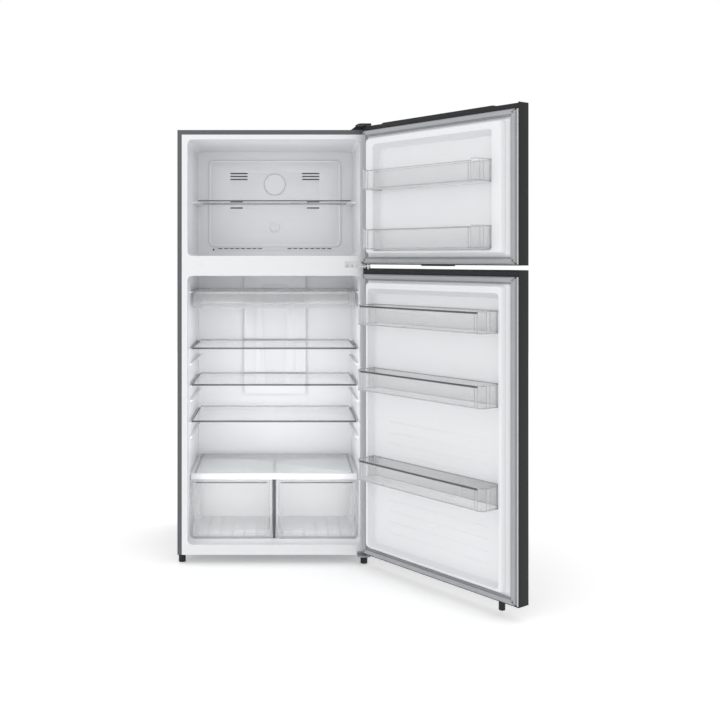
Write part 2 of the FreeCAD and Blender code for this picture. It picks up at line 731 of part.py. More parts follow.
def evaporator():
    """A finned aluminium coil and its defrost heater, standing in the pocket."""
    middle = D.freezer_depth + D.pocket_depth / 2
    end = COIL_HALF.value
    corners = []
    for run in range(COIL_RUNS):
        level = (COIL_LOW + COIL_PITCH * run).value
        sides = (-end, end) if run % 2 == 0 else (end, -end)
        corners += [FreeCAD.Vector(side, middle.value, level) for side in sides]
    bend = COIL_PITCH.value / 2 - 1
    coil = doc.addObject("Part::Feature", "coil_tube")
    coil.Shape = rod(corners, bend, COIL_RADIUS.value)
    fins = Piece("coil_fins", kept=False)
    low = COIL_LOW - FIN_EDGE
    high = COIL_LOW + COIL_PITCH * (COIL_RUNS - 1) + FIN_EDGE
    step = FIN_HALF * 2 / (FIN_COUNT - 1)
    holes = [
        Disc(middle, COIL_LOW + COIL_PITCH * run, COIL_RADIUS + D.clearance) for run in range(COIL_RUNS)
    ]
    for fin in range(FIN_COUNT):
        place = step * fin - FIN_HALF
        plate = Rect(middle - FIN_DEPTH, POCKET_BACK, low, high)
        fins.add("YZ", place, place + FIN, plate, *holes)
    grouped("evaporator_coil", coil, fins.body)
    heater = D.evaporator_cover_bottom + D.cover_lap + HEATER_RADIUS + D.clearance
    Piece("defrost_heater").add(
        "YZ", -FIN_HALF, FIN_HALF, Disc(POCKET_BACK - HEATER_RADIUS * 2, heater, HEATER_RADIUS)
    )


def fan():
    """Motor on the pocket's back wall and a bladed fan on its shaft."""
    motor = Piece("fan_motor")
    motor.add("XZ", FAN_BACK, POCKET_BACK, Disc(0, D.fan_level, MOTOR_RADIUS))
    motor.add("XZ", FAN_FRONT, FAN_BACK, Disc(0, D.fan_level, SHAFT))
    hub = Piece("fan_hub", kept=False)
    hub_back = FAN_BACK - D.clearance * 4
    hub.add("XZ", FAN_FRONT - D.clearance, hub_back, Disc(0, D.fan_level, HUB_RADIUS))
    blades = [hub.body]
    for turn in range(BLADE_COUNT):
        blade = doc.addObject("Part::Box", "fan_blade")
        blade.setExpression("Length", (D.fan_radius - HUB_RADIUS / 2).text)
        blade.setExpression("Width", BLADE.text)
        blade.setExpression("Height", BLADE_CHORD.text)
        pitch = FreeCAD.Rotation(FreeCAD.Vector(1, 0, 0), 35)
        around = FreeCAD.Rotation(FreeCAD.Vector(0, 1, 0), 360 / BLADE_COUNT * turn)
        offset = FreeCAD.Vector(HUB_RADIUS.value / 2, -BLADE.value / 2, -BLADE_CHORD.value / 2)
        middle = FreeCAD.Vector(0, ((FAN_FRONT + hub_back) / 2).value, D.fan_level.value)
        turned = around.multVec(pitch.multVec(offset))
        blade.Placement = FreeCAD.Placement(middle + turned, around.multiply(pitch))
        blades.append(blade)
    whole = doc.addObject("Part::MultiFuse", "fan_whole")
    whole.Shapes = blades
    bore = Piece("fan_bore", kept=False)
    bore.add("XZ", FAN_FRONT - 1, hub_back + 1, Disc(0, D.fan_level, SHAFT + D.running_gap))
    wheel = doc.addObject("Part::Cut", "evaporator_fan")
    wheel.Base = whole
    wheel.Tool = bore.body
    pieces.append(wheel)


def air_control_knob():
    knob = Piece("air_control_knob")
    face = COVER_FACE - D.clearance
    knob.add("XZ", face - KNOB_DEPTH, face, Disc(0, D.knob_level, D.knob_radius))
    top = D.knob_level + D.knob_radius
    knob.add("XZ", face - KNOB_DEPTH * 2, face - KNOB_DEPTH, Rect(-3, 3, D.knob_level - 14, top - 2))
    knob.add("XZ", face, D.freezer_depth + 3, Disc(0, D.knob_level, D.stem_radius))
    clip = D.freezer_depth + D.clearance
    knob.add("XZ", clip, clip + 2, Disc(0, D.knob_level, D.stem_radius + 3))


def ledges():
    """What the glass and the drawers run on: side ledges, tray rails and the crispers' divider."""
    group = Piece("shelf_ledges")
    near = D.shelf_width / 2 - D.ledge_reach
    low_top = D.crisper_cover_top - D.glass
    group.add(
        "XY", low_top - D.ledge_height, low_top,
        *mirrored(near, OPENING, D.shelf_front + D.ledge_reach, D.hump_front - 1),
    )
    tops = []
    for shelf in range(SHELF_COUNT):
        top = D.shelf_first - D.shelf_pitch * shelf - D.glass
        tops += [top, top - SPARE_DROP]
    for top in tops:
        group.add(
            "XY", top - D.ledge_height, top,
            *mirrored(near, OPENING, D.shelf_front + D.ledge_reach, D.shelf_back),
        )
    near = D.freezer_shelf_width / 2 - D.ledge_reach
    top = D.freezer_shelf_top - D.glass
    group.add(
        "XY", top - D.ledge_height, top,
        *mirrored(near, OPENING, D.freezer_shelf_front + D.ledge_reach, COVER_FACE - 1),
    )
    near = D.tray_half_width + 1
    rail = mirrored(near, OPENING, D.shelf_front + 3, D.shelf_back - 4)
    group.add("XY", D.tray_top - D.ledge_height, D.tray_top, *rail)
    half = D.divider / 2
    divider = Rect(-half, half, D.crisper_front + TRIM + 1, D.crisper_front + D.crisper_depth)
    group.add("XY", D.fresh_floor, D.crisper_cover_top - D.glass, divider)


def glass_shelf(name, half, front, back, top, drop):
    """A glass pane and its front trim."""
    trim_back = front + TRIM
    shelf = Piece(name)
    shelf.add("XY", top - D.glass, top, Rect(-half, half, trim_back + JOIN, back))
    shelf.add("XY", top - D.glass - drop, top + 1, Rect(-half, half, front, trim_back))


def shelves():
    half = D.freezer_shelf_width / 2
    back = COVER_FACE - 2
    glass_shelf("freezer_shelf", half, D.freezer_shelf_front, back, D.freezer_shelf_top, 1)
    for shelf in range(SHELF_COUNT):
        top = D.shelf_first - D.shelf_pitch * shelf
        glass_shelf(f"shelf_{shelf + 1}", D.shelf_width / 2, D.shelf_front, D.shelf_back, top, 1)
    half = D.shelf_width / 2
    front = D.crisper_front
    drop = D.crisper_trim_drop - D.glass
    glass_shelf("crisper_cover", half, front, D.shelf_back, D.crisper_cover_top, drop)


def tub(piece, left, right, front, back, low, high, wall, corner):
    """An open box with round upright corners."""
    piece.add("XY", low, high, Rect(left, right, front, back, corner))
    piece.cut(
        "XY", low + wall, high,
        Rect(left + wall, right - wall, front + wall, back - wall, corner - wall),
    )


def trough(piece, left, right, front, back, low, high, wall, corner):
    """An open box whose lower side corners are round, as seen from the front."""
    above = high + corner * 2
    piece.add("XZ", front, back, Rect(left, right, low, above, corner))
    piece.cut(
        "XZ", front + wall, back - wall,
        Rect(left + wall, right - wall, low + wall, above + wall, corner - wall),
    )
    piece.cut("XY", high, above + 1, Rect(left - 1, right + 1, front - 1, back + 1))


def crispers():
    """Two drawers side by side under their glass cover."""
    low = D.fresh_floor + D.clearance
    high = D.crisper_cover_top - D.crisper_trim_drop - 1
    front, back = D.crisper_front, D.crisper_front + D.crisper_depth
    far = OPENING - D.crisper_side_gap
    corner = D.liner_corner
    trough(
        Piece("crisper_drawer_left"), -far, -D.crisper_gap, front, back, low, high,
        D.crisper_wall, corner,
    )
    trough(
        Piece("crisper_drawer_right"), D.crisper_gap, far, front, back, low, high,
        D.crisper_wall, corner,
    )


def chiller_tray():
    """A clear tray whose rim slides on a rail at each side wall."""
    tray = Piece("chiller_tray")
    half = D.tray_half_width
    front, back = D.shelf_front, D.shelf_back - 4
    tub(tray, -half, half, front, back, D.tray_bottom, D.tray_top, D.crisper_wall, as_size(14))
    inner = half - D.crisper_wall
    wide = half + D.tray_flange
    tray.add(
        "XY", D.tray_top, D.tray_top + D.crisper_wall,
        Rect(-wide, wide, front + 20, back - 20),
        Rect(-inner, inner, front + 20 + D.crisper_wall, back - 20 - D.crisper_wall),
    )


def fresh_air_duct():
    """The hollow duct cover on the back wall, with its lamp lens."""
    duct = Piece("fresh_air_duct")
    half = D.duct_half_width
    face = D.fresh_depth - D.duct_depth
    low, high = D.duct_bottom, D.fresh_ceiling - D.clearance
    duct.add("XZ", face, D.fresh_depth, Rect(-half, half, low, high, 12))
    wall = D.crisper_wall
    duct.cut(
        "XZ", face + wall, D.fresh_depth, Rect(wall - half, half - wall, low + wall, high - wall, 9)
    )
    lens = D.lens_half_width
    lens_low, lens_high = low + LENS_EDGE, high - LENS_EDGE
    duct.cut("XZ", face, face + wall, Rect(-lens, lens, lens_low, lens_high, 10))
    gap = D.clearance
    Piece("duct_lamp_lens").add(
        "XZ", face, face + wall, Rect(gap - lens, lens - gap, lens_low + gap, lens_high - gap, 10)
    )


def hinges():
    """Steel hinges: arms that reach out over the doors' ends, and the pins that the doors turn on."""
    plate = D.hinge_plate
    top = Piece("top_hinge")
    arm_top = TOP_ARM + HINGE_STEEL
    edge = INSIDE - 2
    riser = D.liner
    riser_back = riser + HINGE_STEEL
    foot_top = D.cabinet_top + HINGE_STEEL
    top.add("XY", D.cabinet_top, foot_top, Rect(ARM_LEFT, edge, riser_back, HINGE_FOOT))
    top.add("XY", D.cabinet_top, arm_top, Rect(ARM_LEFT, edge, riser, riser_back))
    top.add("XY", TOP_ARM, arm_top, Rect(ARM_LEFT, edge, ARM_FRONT, riser_back))
    top.add("XY", D.freezer_door_top - PIN_REACH, TOP_ARM, Disc(PIN_X, PIN_Y, D.pin_radius))

    middle = Piece("middle_hinge")
    left, right, low, high = MIDDLE_PLATE
    gap = D.clearance
    middle.add("XZ", 0, HINGE_STEEL, Rect(left + gap, right - gap, low + gap, high - gap))
    middle.add("XY", MIDDLE_ARM, MIDDLE_ARM + plate, Rect(ARM_LEFT, right - gap, PIN_Y, 1))
    middle.add("XY", MIDDLE_ARM, MIDDLE_ARM + plate, Rect(ARM_LEFT, edge, ARM_FRONT, PIN_Y + 12))
    middle.add(
        "XY", D.fridge_door_top - PIN_REACH, D.freezer_door_bottom + PIN_REACH,
        Disc(PIN_X, PIN_Y, D.pin_radius),
    )
    middle.add(
        "XY", MIDDLE_ARM, D.freezer_door_bottom - D.clearance, Disc(PIN_X, PIN_Y, COLLAR)
    )

    bottom = Piece("bottom_hinge")
    arm_top = BOTTOM_ARM + plate
    bottom.add("XY", BOTTOM_ARM, arm_top, Rect(ARM_LEFT, edge, ARM_FRONT, 0))
    bottom.add("XY", arm_top, arm_top + 8, Rect(ARM_LEFT, edge, -3, 0))
    bottom.add(
        "XY", BOTTOM_ARM, D.fridge_door_bottom + PIN_REACH, Disc(PIN_X, PIN_Y, D.pin_radius)
    )
    bottom.add("XY", arm_top, D.fridge_door_bottom - D.clearance, Disc(PIN_X, PIN_Y, COLLAR))


def hinge_cover():
    """A plastic cover over the top hinge, open underneath."""
    cover = Piece("top_hinge_cover")
    left, right = HALF - D.hinge_cover_width, HALF
    front, back = -D.hinge_cover_front, D.hinge_cover_back
    high = D.cabinet_top + D.hinge_cover_height
    wall = D.liner
    cover.add("XY", D.cabinet_top, high, Rect(left, right, 0, back))
    cover.add("XY", TOP_ARM, high, Rect(left, right, front, 0))
    cover.cut("XY", D.cabinet_top, high - wall, Rect(left + wall, right - wall, wall, back - wall))
    cover.cut("XY", TOP_ARM, high - wall, Rect(left + wall, right - wall, front + wall, wall))


def screws():
    """Pan-head screws in the hinge plates and the back panel, and the rear rollers' axle pins."""
    group = Piece("screws_and_pins")
    head = as_size(2.5)
    radius = as_size(4)
    for across in (ARM_LEFT + 12, ARM_LEFT + 38):
        top = D.cabinet_top + HINGE_STEEL
        group.add("XY", top, top + head, Disc(across, 35, radius))
    for across in (MIDDLE_PLATE[0] + 10, MIDDLE_PLATE[0] + 30):
        group.add("XZ", -head, 0, Disc(across, MIDDLE_PLATE[2] + 8, radius))
    for across in (-330, 0, 330):
        for up in (BAY_TOP + 12, D.cabinet_top - 20):
            group.add("XZ", D.cabinet_depth, D.cabinet_depth + head, Disc(across, up, radius))
    reach = D.roller_width / 2 + EAR_GAP + EAR + 1
    for side in (-1, 1):
        middle = (HALF - D.roller_inset) * side
        group.add(
            "YZ", middle - reach, middle + reach, Disc(ROLLER_Y, D.roller_radius, D.stem_radius)
        )


def front_feet():
    """Levelling feet on threaded stems that screw into the base pan."""
    for name, (across, back) in FEET.items():
        foot = Piece(f"front_foot_{name}")
        neck = D.cabinet_bottom - 2
        foot.turn(
            Outline(
                (0, 0), (D.foot_radius - 1.5, 0), (D.foot_radius, 1.5), (D.foot_radius, D.foot_height),
                (D.foot_radius - 4, neck), (D.foot_stem, neck),
                (D.foot_stem, PAN_TOP + BOSS_HEIGHT + STEM_ROOM - 4),
                (0, PAN_TOP + BOSS_HEIGHT + STEM_ROOM - 4),
            )
        )
        foot.move(across, back, 0)


def rear_rollers():
    for name, side in (("left", -1), ("right", 1)):
        middle = (HALF - D.roller_inset) * side
        half = D.roller_width / 2
        roller = Piece(f"rear_roller_{name}")
        roller.add("YZ", middle - half, middle + half, Disc(ROLLER_Y, D.roller_radius, D.roller_radius))
        bore = D.stem_radius + D.running_gap
        roller.cut("YZ", middle - half, middle + half, Disc(ROLLER_Y, D.roller_radius, bore))


def machine_bay():
    """Compressor on rubber mounts, drain pan, pipes, drier, louvred cover and cord gland."""
    middle = (BAY_FRONT + D.cabinet_depth) / 2
    place = D.compressor_place
    mount_top = PAN_TOP + 13
    mounts = Piece("compressor_mounts")
    for across in (place - 80, place + 80):
        for back in (middle - 45, middle + 45):
            mounts.add("XY", PAN_TOP, mount_top, Disc(across, back, 10))
    compressor = Piece("compressor")
    plate = mount_top + 3
    compressor.turn(
        Outline(
            (0, plate), (D.compressor_radius - 10, plate), (D.compressor_radius, plate + 14),
            (D.compressor_radius, plate + D.compressor_height * 0.7),
            (D.compressor_radius * 0.8, plate + D.compressor_height * 0.9),
            (D.compressor_radius * 0.4, plate + D.compressor_height),
            (0, plate + D.compressor_height),
        )
    )
    compressor.add("XY", mount_top, plate, Rect(-92, 92, -57, 57, 8))
    compressor.move(place, middle, 0)

    pan = Piece("drain_pan")
    tub(pan, -230, 50, BAY_FRONT + 8, D.cabinet_depth - 12, PAN_TOP, PAN_TOP + 60, D.liner, as_size(12))

    drier_x = (place + D.compressor_radius + 60).value
    drier = Piece("filter_drier", kept=False)
    drier.add("XY", 150, 230, Disc(drier_x, middle, 9))
    drier.add("XY", 140, 150, Disc(drier_x, middle, 5))
    drier.add("XY", 230, 240, Disc(drier_x, middle, 5))
    ceiling = BAY_TOP.value
    shell = (plate + D.compressor_height).value
    y = middle.value
    x = place.value
    side = x + D.compressor_radius.value
    point = FreeCAD.Vector
    level = plate.value + 50
    pipes = doc.addObject("Part::Feature", "pipe_runs")
    pipes.Shape = Part.makeCompound([
        rod([point(side - 0.5, y, level), point(side + 30, y, level), point(side + 30, y, ceiling)], 12, 3.5),
        rod([point(x, y, shell), point(x, y, shell + 25), point(x - 70, y, shell + 25),
             point(x - 70, y, ceiling)], 10, 4),
        rod([point(drier_x, y, 240), point(drier_x, y, ceiling)], 10, 3),
        rod([point(drier_x, y, 140), point(drier_x, y, 110), point(side + 8, y, 110)], 12, 3),
    ])
    grouped("refrigerant_pipes", pipes, drier.body)

    cover = Piece("machine_bay_cover")
    face = D.cabinet_depth - D.sheet
    cover.add("XZ", face, D.cabinet_depth, Rect(-INSIDE, INSIDE, PAN_TOP, BAY_TOP))
    for column in range(LOUVRE_COLUMNS):
        near = 70 + column * 90
        for row in range(LOUVRE_ROWS):
            up = 90 + row * 30
            cover.cut("XZ", face, D.cabinet_depth, *mirrored(as_size(near), near + 70, up, up + 8))
    gland_radius = as_size(8)
    cover.cut("XZ", face, D.cabinet_depth, Disc(GLAND_X, GLAND_Z, gland_radius))
    gland = Piece("cord_gland")
    gland.add("XZ", D.cabinet_depth - 12, D.cabinet_depth, Disc(GLAND_X, GLAND_Z, gland_radius))
    gland.add("XZ", D.cabinet_depth, D.cabinet_depth + 2, Disc(GLAND_X, GLAND_Z, 13))
    gland.cut("XZ", D.cabinet_depth - 12, D.cabinet_depth + 2, Disc(GLAND_X, GLAND_Z, 4))


def drain_tube():
    """A hollow tube in the foam, from the evaporator pocket to the drain pan."""
    points = drain_points()
    outer = rod(points, DRAIN_BEND, DRAIN_RADIUS)
    inner = rod(points, DRAIN_BEND, DRAIN_BORE)
    bent("drain_tube", outer.cut(inner))


def door_liner(name, low, high, dyke_low, dyke_high, dyke_inner):
    """The door's inner panel: a flat border, a raised ring, and lugs that the bins hang on."""
    liner = Piece(f"{name}_door_liner")
    wall = D.liner
    edge = HALF - D.cap_lip
    back = DOOR_BACK
    rise = DOOR_BACK + D.dyke_height
    outer = HALF - D.dyke_inset
    corner = D.liner_corner
    top = high - D.cap_top
    liner.add("XZ", back - wall, back, Rect(-edge, edge, low + D.cap_lip, top))
    margin = D.dyke_rail
    inside = D.dyke_corner
    field = Rect(-dyke_inner, dyke_inner, dyke_low + margin, dyke_high - margin, inside)
    liner.add("XZ", back, rise, Rect(-outer, outer, dyke_low, dyke_high, corner), field)
    hollow = outer - wall
    core = Rect(
        -dyke_inner - wall, dyke_inner + wall, dyke_low + margin - wall, dyke_high - margin + wall,
        inside + wall,
    )
    shell = Rect(-hollow, hollow, dyke_low + wall, dyke_high - wall, corner - wall)
    liner.cut("XZ", back - wall, rise - wall, shell, core)
    half = dyke_inner - D.bin_end_gap
    for bin_low, bin_high in DOOR_BINS[name]:
        lug_top = bin_high - D.hook_drop
        lugs = mirrored(half + D.clearance, dyke_inner, lug_top - D.hook_drop, lug_top)
        liner.add("XZ", back + 4, rise - 6, *lugs)
    swing(liner.body)


def door_foam(name, low, high, dyke_low, dyke_high, dyke_inner):
    """Insulation between the skin, the caps and the liner."""
    foam = Piece(f"{name}_door_foam")
    wall = D.liner
    outer = HALF - D.dyke_inset - wall
    margin = D.dyke_rail
    corner = D.liner_corner
    back = DOOR_BACK - wall
    foam.add(
        "XZ", DOOR_FRONT + D.sheet, back,
        Rect(-INSIDE, INSIDE, low + D.cap_bottom, high - D.cap_top),
    )
    core = Rect(
        -dyke_inner - wall, dyke_inner + wall, dyke_low + margin - wall, dyke_high - margin + wall,
        D.dyke_corner + wall,
    )
    ring = Rect(-outer, outer, dyke_low + wall, dyke_high - wall, corner - wall)
    foam.add("XZ", back, DOOR_BACK + D.dyke_height - wall, ring, core)
    swing(foam.body)


def door_skin(name, low, high):
    """The painted steel front, folded round both sides with a small lip."""
    skin = Piece(f"{name}_door_skin")
    skin.add("XY", low, high, Rect(-HALF, HALF, DOOR_FRONT, DOOR_FRONT + D.sheet))
    skin.add("XY", low, high, *mirrored(INSIDE, HALF, DOOR_FRONT, DOOR_BACK))
    lip = HALF - D.cap_lip
    skin.add("XY", low, high, *mirrored(lip, HALF, DOOR_BACK - D.sheet, DOOR_BACK))
    swing(skin.body)


def door_caps(name, low, high):
    """The plastic end caps, bored for the hinge pins."""
    bore = Disc(PIN_X, PIN_Y, D.pin_radius + D.running_gap)
    front = DOOR_FRONT + D.sheet
    lip_back = DOOR_BACK - D.sheet
    caps = Piece(f"{name}_door_end_caps")
    lip = HALF - D.cap_lip
    caps.add("XY", high - D.cap_top, high, Rect(-INSIDE, INSIDE, front, lip_back))
    caps.add("XY", high - D.cap_top, high, Rect(-lip, lip, lip_back, DOOR_BACK))
    caps.cut("XY", high - D.cap_top, high, bore)
    caps.add("XY", low, low + D.cap_bottom, Rect(-INSIDE, INSIDE, front, DOOR_BACK - D.liner))
    caps.add("XY", low, low + D.cap_lip, Rect(-lip, lip, front, DOOR_BACK))
    caps.cut("XY", low, low + D.cap_bottom, bore)
    swing(caps.body)


def door_gasket(name, low, high):
    """The magnetic seal round the door, just short of the cabinet's flange when shut."""
    gasket = Piece(f"{name}_door_gasket")
    outer = HALF - D.gasket_inset
    inner = outer - D.gasket_width
    bottom = low + D.gasket_inset
    top = high - D.cap_top
    gasket.add(
        "XZ", DOOR_BACK, -D.gasket_gap,
        Rect(-outer, outer, bottom, top),
        Rect(-inner, inner, bottom + D.gasket_width, top - D.gasket_width),
    )
    swing(gasket.body)


def door_bin(label, half, reach, low, high, railed):
    """A clear bin that hangs on the liner's lugs by a hook at each end."""
    bin_piece = Piece(label)
    front = DOOR_BACK + D.clearance
    back = DOOR_BACK + reach
    rim = high - 8 if railed else as_size(high)
    tub(bin_piece, -half, half, front, back, low, high, D.bin_wall, D.bin_corner)
    if railed:
        inner = half - D.bin_corner * 2
        bin_piece.cut("XY", rim, high, Rect(-inner, inner, back - D.bin_wall, back + 1))
    hook_low = as_size(high) - D.hook_drop
    outer = half + D.bin_end_gap - D.clearance
    bin_piece.add(
        "XY", hook_low, hook_low + D.hook,
        *mirrored(half - 1, outer, front + 4, DOOR_BACK + D.dyke_height - 6),
    )
    swing(bin_piece.body)


def doors():
    # the ring's top stays under the cavity's ceiling, and on the lower door under the gasket too
    limits = {
        "freezer": (
            D.freezer_door_bottom, D.freezer_door_top, D.freezer_floor,
            D.freezer_ceiling - D.dyke_clearance,
        ),
        "fridge": (
            D.fridge_door_bottom, D.fridge_door_top, D.fresh_floor + D.dyke_lift - D.dyke_clearance,
            D.fridge_door_top - D.cap_top - D.gasket_width - D.dyke_clearance,
        ),
    }
    bins = {
        "freezer": (D.freezer_bin_half, D.freezer_bin_reach),
        "fridge": (D.fridge_bin_half, D.fridge_bin_reach),
    }
    for name, (low, high, opening_low, dyke_high) in limits.items():
        half, reach = bins[name]
        dyke = (opening_low + D.dyke_clearance, dyke_high, half + D.bin_end_gap)
        door_skin(name, low, high)
        door_caps(name, low, high)
        door_foam(name, low, high, *dyke)
        door_liner(name, low, high, *dyke)
        door_gasket(name, low, high)
        for number, (bin_low, bin_high) in enumerate(DOOR_BINS[name], start=1):
            door_bin(f"{name}_bin_{number}", half, reach, bin_low, bin_high, name == "fridge")
    peg = Piece("fridge_door_support_foot")
    middle = DOOR_BACK - D.door_thickness / 2
    peg.add(
        "XY", D.peg_bottom, D.fridge_door_bottom, Disc(HALF - D.peg_place, middle, D.peg_radius)
    )
    swing(peg.body)


def checked(objects):
    """Stops on any failed feature or broken shape before a file is written."""
    doc.recompute()
    for item in doc.Objects:
        if "Invalid" in item.State or "Error" in item.State:
            raise RuntimeError(f"{item.Name} is in state {item.State}")
    for item in objects:
        if item.Shape.isNull() or not item.Shape.isValid():
            raise RuntimeError(f"{item.Label} has no valid shape")
    return objects


def main():
    cabinet_sides()
    cabinet_top_panel()
    cabinet_back_panel()
    base_pan()
    cabinet_foam()
    freezer_liner()
    fresh_food_liner()
    front_covers()
    evaporator_cover()
    return_air_grille()
    evaporator()
    fan()
    air_control_knob()
    ledges()
    shelves()
    crispers()
    chiller_tray()
    fresh_air_duct()
    hinges()
    hinge_cover()
    screws()
    front_feet()
    rear_rollers()
    machine_bay()
    drain_tube()
    doors()
    os.makedirs("parts", exist_ok=True)
    for item in checked(pieces):
        item.Shape.exportStep(f"parts/{item.Label}.step")
        print(item.Label, len(item.Shape.Solids), round(item.Shape.Volume))


main()
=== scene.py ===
"""Top freezer refrigerator: the looks of its doors, cavities, shelves, drawers and fittings.

Laid out as a Blender add-on and run as a script around the fixed frame of CAD nodes.
Every piece is in metres, in the frame's own axes: +Z up, +X to the right, +Y into the cabinet.
"""

import json
import math
from contextlib import contextmanager

import bmesh
import bpy
from mathutils import Matrix, Vector


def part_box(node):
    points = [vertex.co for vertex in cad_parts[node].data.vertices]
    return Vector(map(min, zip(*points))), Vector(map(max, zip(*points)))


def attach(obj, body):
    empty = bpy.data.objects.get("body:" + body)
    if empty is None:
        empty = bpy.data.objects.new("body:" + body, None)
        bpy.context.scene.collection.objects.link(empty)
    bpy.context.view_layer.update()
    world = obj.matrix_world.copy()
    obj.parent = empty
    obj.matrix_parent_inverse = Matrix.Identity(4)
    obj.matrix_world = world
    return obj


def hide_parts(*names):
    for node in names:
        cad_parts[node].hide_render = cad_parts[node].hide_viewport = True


bl_info = {
    "name": "Top Freezer Refrigerator",
    "version": (1, 0, 0),
    "blender": (4, 5, 0),
    "location": "View3D > Sidebar > Fridge",
    "description": "Builds the looks of a two-door refrigerator around its CAD frame",
    "category": "Add Mesh",
}

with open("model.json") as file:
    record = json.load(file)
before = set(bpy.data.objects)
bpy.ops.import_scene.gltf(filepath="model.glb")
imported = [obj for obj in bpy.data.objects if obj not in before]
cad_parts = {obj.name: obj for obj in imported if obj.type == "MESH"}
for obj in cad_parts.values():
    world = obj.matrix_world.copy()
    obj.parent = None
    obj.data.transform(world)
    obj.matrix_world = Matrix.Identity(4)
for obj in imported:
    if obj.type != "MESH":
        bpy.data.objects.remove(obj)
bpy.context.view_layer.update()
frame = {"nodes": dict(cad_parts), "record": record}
MM = 0.001
X, Y, Z = Vector((1, 0, 0)), Vector((0, 1, 0)), Vector((0, 0, 1))


def joint(name):
    """One joint of the frame's record."""
    return [j for j in frame["record"]["behaviour"]["joints"] if j["name"] == name][0]


HINGE = joint("freezer_door_hinge")
PIN = Vector(HINGE["pos_m"])
OPENING_ANGLE = math.radians(-HINGE["range_deg"][0])
# a door piece is modelled with the door shut, then swung open about the pin
SWING = Matrix.Translation(PIN) @ Matrix.Rotation(OPENING_ANGLE, 4, "Z") @ Matrix.Translation(-PIN)
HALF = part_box("cabinet_top_panel")[1].x
FREEZER_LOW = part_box("freezer_liner")[0]
FREEZER_CEILING = Vector((0, 0, 1740 * MM))
FRESH_LOW, FRESH_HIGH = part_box("fresh_food_liner")
OPENING_HALF = 353.5 * MM
LINER_WALL = 2 * MM
STEEL = 1 * MM
DOOR_BACK = -12 * MM
DOOR_FRONT = -69 * MM


def srgb(text):
    """A colour written as six hex digits, as linear values."""
    parts = [int(text[i:i + 2], 16) / 255 for i in (0, 2, 4)]
    return tuple(p / 12.92 if p <= 0.04045 else ((p + 0.055) / 1.055) ** 2.4 for p in parts)


def colour(name, description, text):
    return bpy.props.FloatVectorProperty(
        name=name, description=description, subtype="COLOR", size=3, min=0, max=1, default=srgb(text)
    )


def length(name, description, millimetres):
    return bpy.props.FloatProperty(
        name=name, description=description, unit="LENGTH", default=millimetres * MM
    )


class FridgeColours(bpy.types.PropertyGroup):
    """Colours of the finishes."""

    cabinet: colour("Cabinet paint", "Powder coat on the cabinet's steel", "55575a")
    door: colour("Door paint", "Powder coat on the doors' steel", "151617")
    caps: colour("End caps", "Moulded caps of the doors", "1e1f21")
    liner: colour("Liner", "Vacuum-formed lining", "e6e7e9")
    trim: colour("White trim", "Moulded white parts", "e6e7e9")
    gasket: colour("Gasket", "Door seals", "a3a5a8")
    rail: colour("Dark rail", "Shelf and bin edges", "4a4c4f")
    clear: colour("Clear plastic", "Bins, drawers and tray", "ebebed")
    glass: colour("Glass", "Shelf panes", "e8efee")


class FridgeSizes(bpy.types.PropertyGroup):
    """Sizes of details that the frame doesn't hold."""

    bin_wall: length("Bin wall", "Wall of a door bin", 2.6)
    bin_corner: length("Bin corner", "Front corner radius of a door bin", 24)
    floor_margin: length("Floor", "Half width of the studio floor", 9000)


def colours():
    return bpy.context.scene.fridge_colours


def sizes():
    return bpy.context.scene.fridge_sizes


# ---------------------------------------------------------------- shaping


def select_only(piece):
    bpy.ops.object.select_all(action="DESELECT")
    piece.select_set(True)
    bpy.context.view_layer.objects.active = piece


@contextmanager
def shaping(piece, kind, chosen):
    """Edit mode on one piece, with the faces, edges or corners that pass the test selected."""
    select_only(piece)
    bpy.ops.object.mode_set(mode="EDIT")
    bpy.ops.mesh.select_mode(type=kind)
    bpy.ops.mesh.select_all(action="DESELECT")
    mesh = bmesh.from_edit_mesh(piece.data)
    mesh.normal_update()
    items = {"FACE": mesh.faces, "EDGE": mesh.edges, "VERT": mesh.verts}[kind]
    for item in [item for item in items if chosen(item)]:
        item.select_set(True)
    bmesh.update_edit_mesh(piece.data)
    yield
    bpy.ops.object.mode_set(mode="OBJECT")


def facing(direction):
    return lambda face: face.normal.dot(direction) > 0.99


def either_way(axis):
    return lambda face: abs(face.normal.dot(axis)) > 0.99


def along(axis):
    def test(edge):
        run = edge.verts[1].co - edge.verts[0].co
        return abs(run.normalized().dot(axis)) > 0.99
    return test


def block(name, low, high):
    """A box from its lowest to its highest corner."""
    low, high = Vector(low), Vector(high)
    bpy.ops.object.select_all(action="DESELECT")
    bpy.ops.mesh.primitive_cube_add(size=1, location=(low + high) / 2)
    piece = bpy.context.object
    piece.name = name
    piece.scale = high - low
    bpy.ops.object.transform_apply(location=True, rotation=True, scale=True)
    return piece


def round_edges(piece, axis, radius, steps=6, test=None):
    """Rounds the edges that run along an axis, or those of them that pass a test."""
    runs = along(axis)
    chosen = (lambda edge: runs(edge) and test(edge)) if test else runs
    with shaping(piece, "EDGE", chosen):
        bpy.ops.mesh.bevel(offset=radius, segments=steps, affect="EDGES", clamp_overlap=True)
    return piece


def rounded(name, low, high, axis, radius, steps=6):
    """A box whose edges along one axis are round."""
    return round_edges(block(name, low, high), axis, radius, steps)


def disc(name, centre, radius, depth, axis, sides=64):
    """A round bar or plate whose middle is at centre."""
    bpy.ops.object.select_all(action="DESELECT")
    bpy.ops.mesh.primitive_cylinder_add(
        vertices=sides, radius=radius, depth=depth, location=centre,
        rotation=axis.to_track_quat("Z", "Y").to_euler(),
    )
    piece = bpy.context.object
    piece.name = name
    bpy.ops.object.transform_apply(location=True, rotation=True, scale=True)
    return piece


